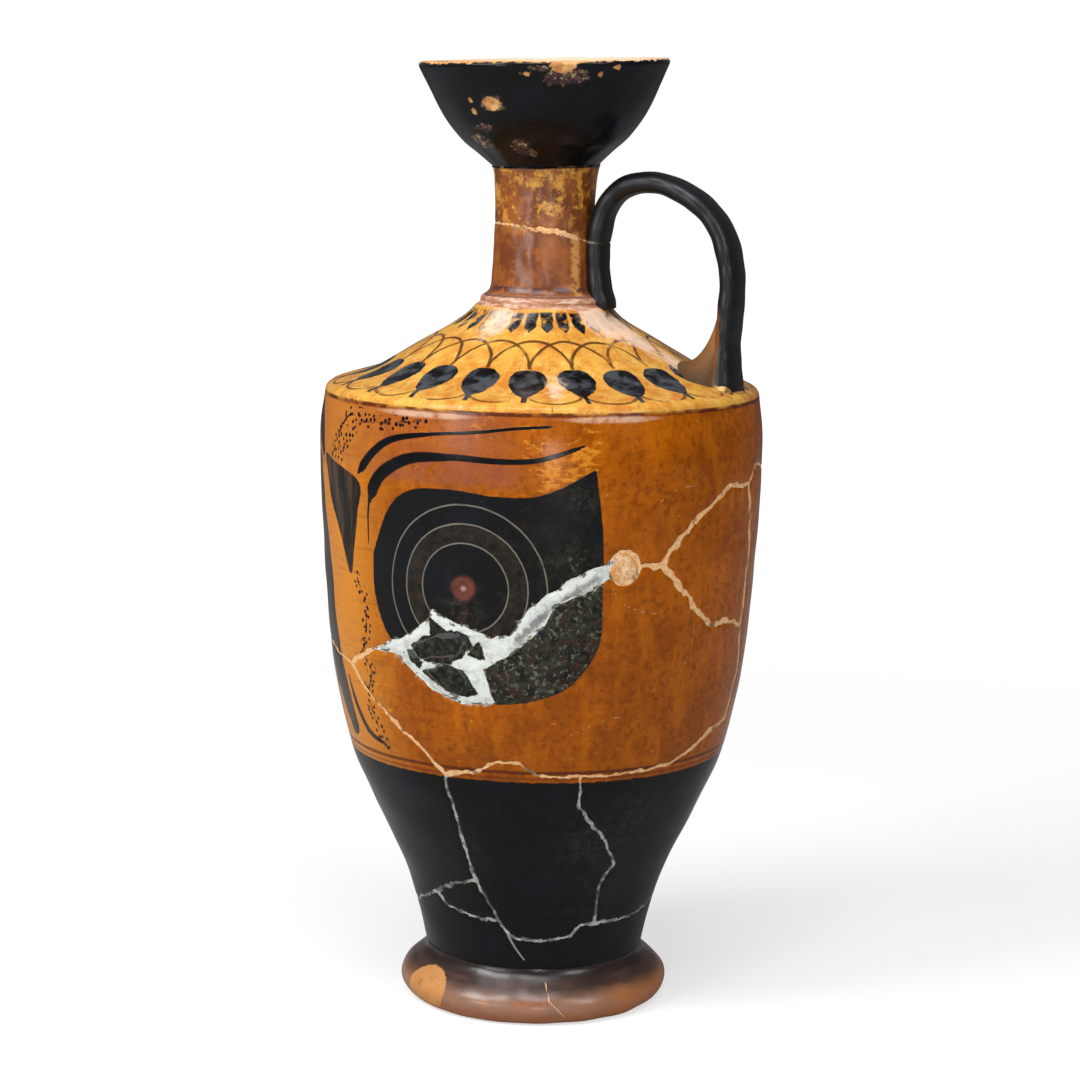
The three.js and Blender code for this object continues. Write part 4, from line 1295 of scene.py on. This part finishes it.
def joint_paint(name):
    """Filling of the breaks: white by the plaster, grey in the black wall, cream and brown elsewhere."""
    p = Paint(name)
    grain = p.noise(1, 151, 5, 0.75)
    on_black = p.rise(p.z, BAND_HEIGHT + 0.6, BAND_HEIGHT - 0.6)
    broken_edge = p.rise(p.noise(2.4, 139, 3, 0.6) * 1.7, 0.9, 1)
    colour = p.layers(
        CREAM,
        (p.rise(grain, 0.42, 0.68), (204, 142, 86)),
        (on_black, p.mix(p.clouds(3.5, 153, 0.4, 0.6, 4, 0.65), (172, 178, 172), (84, 84, 80))),
        (p.clouds(5, 155, 0.56, 0.66, 4, 0.6) * 0.75, (60, 34, 20)),
        (p.rise(p.value("dust"), 1.6, 0.9), p.mix(broken_edge * 0.85, PLASTER, PLASTER_EDGE)),
        (p.rise(p.value("island"), -0.3, 0.1) * 0.9, SLIP),
    )
    return p.finish(colour, 0.85, grain * 0.3)


# The clay, sherd by sherd

WALL_SLOTS = {
    "painted_clay": ("upper_body_sherd", "right_body_sherd", "front_body_sherd", "back_wall_sherd"),
    "black_slip": (
        "lower_front_sherd", "lower_left_sherd", "base_sherd", "eye_sherd_large", "eye_sherd_small",
    ),
    "white_plaster": ("eye_plaster_fill",),
    "cream_fill": ("round_patch_fill",),
}
GAP = 0.3
JOINT_REACH = 0.7  # of the filling under the edges of a break
JOINT_SUNK = 0.12
JOINT_DEPTH = 1.6
FLOOR_SIDES = 96


def build_wall(core):
    regions = wall_regions()
    values = wall_values()
    slots = {name: slot for slot, names in WALL_SLOTS.items() for name in names}
    paint = WallPaint().whole()
    island = island_paint()
    special = {
        "eye_plaster_fill": eye_plaster_paint(),
        "round_patch_fill": patch_paint(),
        "eye_sherd_large": island,
        "eye_sherd_small": island,
    }
    relief = wall.ripple(3, 30) * 0.14
    fine = wall.ripple(4, 5) * 0.12
    ragged = np.clip(wall.ripple(5, 5) * 0.5 + 0.3, 0, 1) * 0.25 + np.clip(wall.ripple(14, 1.8), 0, 1) * 0.3
    in_eye_fill = [regions[name] for name in ("eye_plaster_fill", "eye_sherd_large", "eye_sherd_small")]
    dust = values["dust"] = -np.max(in_eye_fill, axis=0)
    gape = np.maximum(spots(WIDE_BREAKS) * (0.7 + wall.ripple(13, 3) * 0.6), 0)
    opening = GAP / 2 + np.where(dust > 1, ragged + gape, 0)
    islands = np.max([region(wall, at_heights(outline)) for outline in ISLANDS], axis=0)
    streak = line_distance(wall, curve_at_heights(PLASTER_STREAK))[0]
    for name, field in regions.items():
        grids = {"crack": field} if name in special else {**values, "crack": field}
        if name == "eye_plaster_fill":
            grids = {"island": islands, "streak": streak, "edge": field}
        height = relief + fine if name in special else relief
        points, faces, skins, numbers = shell(wall, field - opening, height, WALL, grids)
        if name == "front_body_sherd":
            numbers["abrasion"] = np.full(len(points), 1.0)
        if name == "base_sherd":
            points, faces, skins, numbers = with_floor(points, faces, skins, numbers)
        materials = [special.get(name, paint), core]
        new_piece(name + "_clay", slots[name], points, faces, materials, skins, numbers)
    nearest = np.max(list(regions.values()), axis=0)
    joint_filling("wall_joints", wall, nearest - opening, relief, {"dust": dust, "island": islands})


def with_floor(points, faces, skins, numbers):
    """The base sherd's wall with the vessel's floor inside it."""
    radius = FOOT_JOINT_RADIUS - WALL / 2
    turns = np.arange(FLOOR_SIDES) / FLOOR_SIDES * 2 * np.pi
    disc, sides = lofted([
        np.stack([radius * np.cos(turns), radius * np.sin(turns), np.full(FLOOR_SIDES, height)], 1)
        for height in (FOOT_HEIGHT + 0.1, FOOT_HEIGHT + FLOOR)
    ])
    numbers = {key: np.pad(values, (0, len(disc))) for key, values in numbers.items()}
    moved = [[k + len(points) for k in face] for face in sides]
    return np.vstack([points, disc]), faces + moved, skins + [1] * len(moved), numbers


def joint_filling(name, surface, nearest, relief, grids):
    """Filling that shows in the breaks, a little below the surface."""
    field = JOINT_REACH - nearest
    points, faces, _, numbers = shell(surface, field, relief - JOINT_SUNK, JOINT_DEPTH, grids, chamfer=0)
    new_piece(name, "cream_fill", points, faces, [joint_paint(name + "_fill")], None, numbers)


def build_neck(core):
    level = [(angle, neck.along_at(neck_level(share))) for angle, share in NECK_BREAK]
    path = run(rough_line(level, seed=77, unevenness=0.22, step=0.8, radius=NECK_RADIUS))
    low = region(neck, path + [(217, BELOW), (-143, BELOW)], path)
    paint = neck_paint()
    relief = neck.ripple(6, 12) * 0.1
    ragged = np.clip(neck.ripple(8, 3), 0, 1) * 0.3
    gape = GAP / 2 + ragged + 0.38 * smooth(-95, -72, neck.grid_angle) * smooth(-20, -45, neck.grid_angle)
    for name, field in (("neck_lower_sherd", low), ("neck_upper_sherd", -low)):
        points, faces, skins, _ = shell(neck, field - gape, relief, 0, {})
        inner = points[len(points) // 2:]
        inner[:, :2] *= BORE_RADIUS / np.hypot(inner[:, 0], inner[:, 1])[:, None]
        new_piece(name + "_clay", "bare_clay", points, faces, [paint, core], skins)
    none = np.full(low.shape, FAR)
    joint_filling("neck_joint", neck, np.abs(low) - gape, relief, {"dust": none, "island": -none})


# Chips and scuffs: angle, height, half width and half height
MOUTH_CHIPS = [
    (-61.5, 219.0, 2.9, 1.7), (-98.5, 210.8, 2.3, 1.5), (-111, 211.4, 0.7, 0.6),
    (-111.5, 209.0, 0.7, 0.6), (-44, 216.9, 0.6, 0.5), (-36, 218.4, 0.9, 0.6), (-79, 217.2, 1.2, 0.4),
    (60, 216, 3, 1.6), (170, 208, 2, 1.5),
]
MOUTH_SCUFFS = [
    (-60, 216.4, 6.0, 1.9), (-119, 202.2, 3.0, 1.8), (-87.5, 200.8, 2.4, 1.9), (-80.5, 199.4, 1.0, 0.8),
    (-98.5, 210.8, 3.0, 2.0), (-70, 218.3, 5.0, 0.9), (-110, 205.5, 2.4, 0.8), (20, 210, 4, 2),
]
FOOT_CHIP = (-125, 4.8, 7.4, 4.6)
FOOT_CRACK = [(-64, 9.4), (-63, 6), (-60, 4.4), (-56, 2.1)]
FOOT_CRACK_HALF_WIDTH = 0.17


def chip_field(surface, chips, allowed):
    """How far each allowed point lies in the nearest chip, in millimetres; the others lie in none."""
    best = np.full(surface.grid_angle.shape, -FAR)
    for angle, height, half_width, half_height in chips:
        across = np.radians(wrapped(surface.grid_angle - angle)) * surface.grid_radius / half_width
        up = (surface.grid_height - height) / half_height
        best = np.maximum(best, (1 - np.hypot(across, up)) * min(half_width, half_height))
    return np.where(allowed, best, -FAR)


def build_mouth():
    mouth = Surface(mouth_outline(), columns=360, step=0.45)
    lip = mouth.along[np.argmax(mouth.height)]
    outside = mouth.grid_along < lip + 0.2
    chips = chip_field(mouth, MOUTH_CHIPS, outside)
    ragged = mouth.ripple(9, 5) * 0.5 + mouth.ripple(10, 14) * 0.4
    worn_lip = 2 - np.abs(mouth.grid_along - lip - LIP_WIDTH / 2 + 0.4) * 0.8 + ragged * 0.3
    relief = mouth.ripple(11, 18) * 0.1 - np.clip(chips, 0, 1.2) * 0.3
    points, faces = turned_mesh(mouth, relief, closed=True)
    towards = math.radians(MOUTH_LEAN_TOWARDS)
    axis = Vector((-math.sin(towards), math.cos(towards), 0))
    lean = np.array(Matrix.Rotation(math.radians(MOUTH_LEAN), 3, axis))
    points = (points - [0, 0, MOUTH_START]) @ lean.T + [0, 0, MOUTH_START]
    numbers = {
        "chip": np.maximum(chips, worn_lip).ravel(),
        "scuff": chip_field(mouth, MOUTH_SCUFFS, outside).ravel(),
    }
    new_piece("mouth_clay", "black_slip", points, faces, [mouth_paint()], None, numbers)


def build_foot():
    foot = Surface(foot_outline(), columns=360, step=0.5)
    chips = chip_field(foot, [FOOT_CHIP], (foot.grid_height > 0.2) & (foot.grid_radius > 26))
    # The outline folds back over itself in height, so the crack's places are found on its outer side alone
    outer = foot.radius > FOOT_JOINT_RADIUS - 0.5
    crack_path = [(a, float(np.interp(h, foot.height[outer], foot.along[outer]))) for a, h in FOOT_CRACK]
    distance, across, _ = line_distance(foot, crack_path)
    relief = foot.ripple(12, 16) * 0.12 - np.clip(chips, 0, 2) * 0.12
    points, faces = turned_mesh(foot, relief)
    points[:, 2] = np.maximum(points[:, 2], 0)
    numbers = {
        "chip": chips.ravel(),
        "crack": across.ravel() / FOOT_CRACK_HALF_WIDTH,
        "crack_far": distance.ravel() / FOOT_CRACK_HALF_WIDTH,
    }
    new_piece("foot_clay", "brown_slip", points, faces, [foot_paint()], None, numbers)


STRAP_STEPS = 320
STRAP_SIDES = 48
STRAP_JOINT_SHARE = 0.94  # of the strap's section
ROOT_STEPS = 24
ROOT_SIDES = 72
# The root's fill inside the strap, at its sides and outside it
ROOT_REACH = (10.0, 3.2, 1.4)
ROOT_RISE = (18.0, 2.6, 1.6)


def strap_path():
    """Middle line of the strap, as (x, z) points at even steps, from the neck over to the shoulder."""
    leg = NECK_RADIUS + STRAP_THICKNESS / 3
    leg_foot = NECK_RING_RADIUS + STRAP_THICKNESS / 8
    arm_foot = lerp(SHOULDER_TOP_RADIUS, SHOULDER_RADIUS, 0.8)
    drop = HANDLE_TOP - SHOULDER_HEIGHT
    shares = [(0.02, 0.5), (0, 0.36), (0.01, 0.24), (0.07, 0.11), (0.2, 0.025), (0.39, 0), (0.58, 0.028),
              (0.79, 0.11), (0.93, 0.23), (1, 0.4), (1, 0.55), (0.985, 0.7)]
    points = [(leg_foot + 0.2, NECK_START - 0.8)]
    points += [(lerp(leg, HANDLE_REACH, across), HANDLE_TOP - down * drop) for across, down in shares]
    points += [(arm_foot + 0.8, HANDLE_TOP - 0.84 * drop), (arm_foot + 0.9, HANDLE_TOP - 0.96 * drop)]
    dense = spline(points, 900)
    length = lengths(dense)
    even = np.linspace(0, length[-1], STRAP_STEPS + 1)
    return np.stack([np.interp(even, length, dense[:, k]) for k in (0, 1)], 1), length[-1]


def softened(turns, power):
    """Cosine and sine of the turns, for an oval with flatter sides."""
    sides = np.stack([np.cos(turns), np.sin(turns)], 1)
    return np.sign(sides) * np.abs(sides) ** power


def build_handle():
    path, length = strap_path()
    tangents = np.gradient(path, axis=0)
    tangents /= np.linalg.norm(tangents, axis=1)[:, None]
    sides = softened(np.arange(STRAP_SIDES) / STRAP_SIDES * 2 * np.pi, 0.85)

    def ring(k, size):
        """Section of the strap at one step, and how bare its points are: those of its inner face."""
        share = k / STRAP_STEPS
        tip = min(share * length / STRAP_THICKNESS + 0.35, 1)
        flare = 1 + 0.4 * float(smooth(0.86, 1, share))
        uneven = 1 + 0.02 * math.sin(share * 41) + 0.015 * math.sin(share * 97 + 1)
        scale = math.sqrt(1 - (1 - tip) ** 2) * uneven * size
        half_width = lerp(LEG_WIDTH, ARM_WIDTH, float(smooth(0.2, 0.75, share))) / 2
        across = sides[:, 0] * half_width * lerp(1, flare, 0.4) * scale
        up = sides[:, 1] * STRAP_THICKNESS / 2 * flare * scale
        far_side = smooth(0.5, 0.85, across / half_width) * smooth(0.25, 0.14, share)
        bare = np.maximum(smooth(0.72, 0.9, share), far_side)
        points = np.stack([path[k, 0] - tangents[k, 1] * up, across, path[k, 1] + tangents[k, 0] * up], 1)
        return points, np.clip(0.1 - 2 * sides[:, 1], 0, 1) * bare

    cut = int(np.argmax(path[:, 1] > neck_level(dict(NECK_BREAK)[0])))
    rings, _ = zip(*[ring(k, STRAP_JOINT_SHARE) for k in range(cut - 2, cut + 3)])
    paint = strap_paint()
    for name, span in (("handle_neck_stub", (0, cut)), ("handle_arch", (cut + 1, STRAP_STEPS + 1))):
        whole_rings, inner = zip(*[ring(k, 1) for k in range(*span)])
        numbers = {"inner_face": np.concatenate([*inner, [0, 0]])}
        new_piece(name + "_clay", "black_slip", *lofted(whole_rings), [paint], None, numbers)
    new_piece("handle_joint", "cream_fill", *lofted(rings), [handle_joint_paint()])
    build_root_fill(path)


def build_root_fill(path):
    """Fill round the strap's lower root: a long fillet inside it, and least on its outer face."""
    turns = np.arange(ROOT_SIDES) / ROOT_SIDES * 2 * np.pi
    outward = np.stack([np.cos(turns), np.sin(turns)], 1)
    across = softened(turns, 0.75) * [STRAP_THICKNESS * 0.6, ARM_WIDTH * 0.53]
    inner, outer = (np.clip(sign * outward[:, 0], 0, 1) for sign in (-1, 1))
    shares = np.stack([inner ** 1.5, outward[:, 1] ** 2, outer])
    reach, rise = ROOT_REACH @ shares, ROOT_RISE @ shares
    arm = path[len(path) * 2 // 3:][::-1]
    on_top = wall.along >= wall.along_at(SHOULDER_HEIGHT)
    rows = []
    for share in np.linspace(0, 1, ROOT_STEPS):
        x, y = (across + outward * (reach * (1 - share) ** 1.6)[:, None]).T
        x = x + path[-1][0]
        radius = np.minimum(np.hypot(x, y), SHOULDER_RADIUS - 0.3)
        ground = np.interp(radius, wall.radius[on_top][::-1], wall.height[on_top][::-1])
        z = ground - 0.5 * (1 - share) + rise * share ** 1.7
        z = z + 0.25 * np.sin(turns * 5 + 1) * (1 - share) * share * 3
        x = x + np.interp(z, arm[:, 1], arm[:, 0]) - path[-1][0] - outward[:, 0] * share * 0.7
        rows.append(np.stack([x, y - outward[:, 1] * share * 0.5, z], 1))
    rows.insert(0, rows[0] - [0, 0, 2])
    new_piece("handle_root_fill_clay", "cream_fill", *lofted(rows), [root_paint()])


# Studio

CAMERA_AZIMUTH = 20.0
CAMERA_DISTANCE = 640.0  # from the axis, level
CAMERA_HEIGHT = 210.0
CAMERA_PITCH = 9.0
CAMERA_ROLL = 0.9
FOCAL_PIXELS = 2755.0
IMAGE_SIZE = 1080.0
LAMP_AIM = 110.0  # height of the vessel's middle
# Azimuth from the camera's to the right, elevation, metres away, width and height in metres, and watts
LAMPS = {
    "key": (-58, 42, 1.0, 0.4, 0.5, 8.7),
    "left": (-41, 8.8, 1.2, 0.3, 0.06, 2.8),
    "front": (6, 0.4, 1.2, 0.09, 0.1, 1.6),
    "right": (46, 30, 1.1, 0.25, 0.6, 3.9),
    "top": (-2, 64, 0.9, 0.4, 0.4, 4.5),
}
WORLD_LIGHT = 0.13
FLOOR_TONE = 0.42
FLOOR_SIZE = 6.0  # half of its side in metres
FLOOR_GLOW = 0.6  # white that the camera sees near the vessel, over the floor's own colour
FLOOR_FADE = (0.2, 0.9)  # metres from the vessel over which the floor fades to plain white


def build_camera():
    data = bpy.data.cameras.new("camera")
    data.sensor_width = 36.0
    data.lens = FOCAL_PIXELS / IMAGE_SIZE * data.sensor_width
    data.clip_start = 0.05
    data.clip_end = 50
    camera = add("camera", data)
    turn = math.radians(CAMERA_AZIMUTH)
    place = Vector((CAMERA_DISTANCE * math.sin(turn), -CAMERA_DISTANCE * math.cos(turn), CAMERA_HEIGHT)) * MM
    level = Matrix.Rotation(turn, 4, "Z") @ Matrix.Rotation(math.radians(90 - CAMERA_PITCH), 4, "X")
    roll = Matrix.Rotation(math.radians(CAMERA_ROLL), 4, "Z")
    camera.matrix_world = Matrix.Translation(place) @ level @ roll
    bpy.context.scene.camera = camera


def build_lights():
    """Soft boxes that look at the middle of the vessel."""
    for name, (azimuth, elevation, distance, width, height, power) in LAMPS.items():
        data = bpy.data.lights.new(name, "AREA")
        data.shape = "RECTANGLE"
        data.size = width
        data.size_y = height
        data.energy = power
        lamp = add(name, data)
        turn, lift = math.radians(CAMERA_AZIMUTH + azimuth), math.radians(elevation)
        level = math.cos(lift)
        direction = Vector((math.sin(turn) * level, -math.cos(turn) * level, math.sin(lift)))
        lamp.location = Vector((0, 0, LAMP_AIM * MM)) + direction * distance
        lamp.rotation_euler = direction.to_track_quat("Z", "Y").to_euler()


def build_floor():
    """Pale floor that fades to plain white for the camera alone, away from the vessel."""
    mesh = bpy.data.meshes.new("floor")
    corners = [(FLOOR_SIZE * x, FLOOR_SIZE * y, 0) for x, y in ((-1, -1), (1, -1), (1, 1), (-1, 1))]
    mesh.from_pydata(corners, [], [(0, 1, 2, 3)])
    floor = add("floor", mesh)
    n = Nodes(bpy.data.materials.new("floor"))
    away = n.node("VectorMath", n.node("TexCoord", out="Object"), operation="LENGTH", out="Value")
    fade = n.node("MapRange", away, *FLOOR_FADE, FLOOR_GLOW, interpolation_type="SMOOTHSTEP")
    glow = n.node("Emission", Strength=n.node("LightPath", out="Is Camera Ray") * fade)
    matte = n.node("BsdfDiffuse", (FLOOR_TONE, FLOOR_TONE, FLOOR_TONE, 1))
    n.node("OutputMaterial", n.node("AddShader", matte, glow))
    mesh.materials.append(n.owner)


def build_world():
    """White for the camera, and a low even light for the vessel."""
    n = Nodes(bpy.data.worlds.new("studio"))
    bpy.context.scene.world = n.owner
    strength = n.node("MapRange", n.node("LightPath", out="Is Camera Ray"), 0, 1, WORLD_LIGHT, 1)
    n.node("OutputWorld", n.node("Background", (1, 1, 1, 1), strength))


clay_core = bare_clay()
build_wall(clay_core)
build_neck(clay_core)
build_mouth()
build_foot()
build_handle()
build_camera()
build_lights()
build_floor()
build_world()
bpy.context.scene.view_settings.view_transform = "Standard"
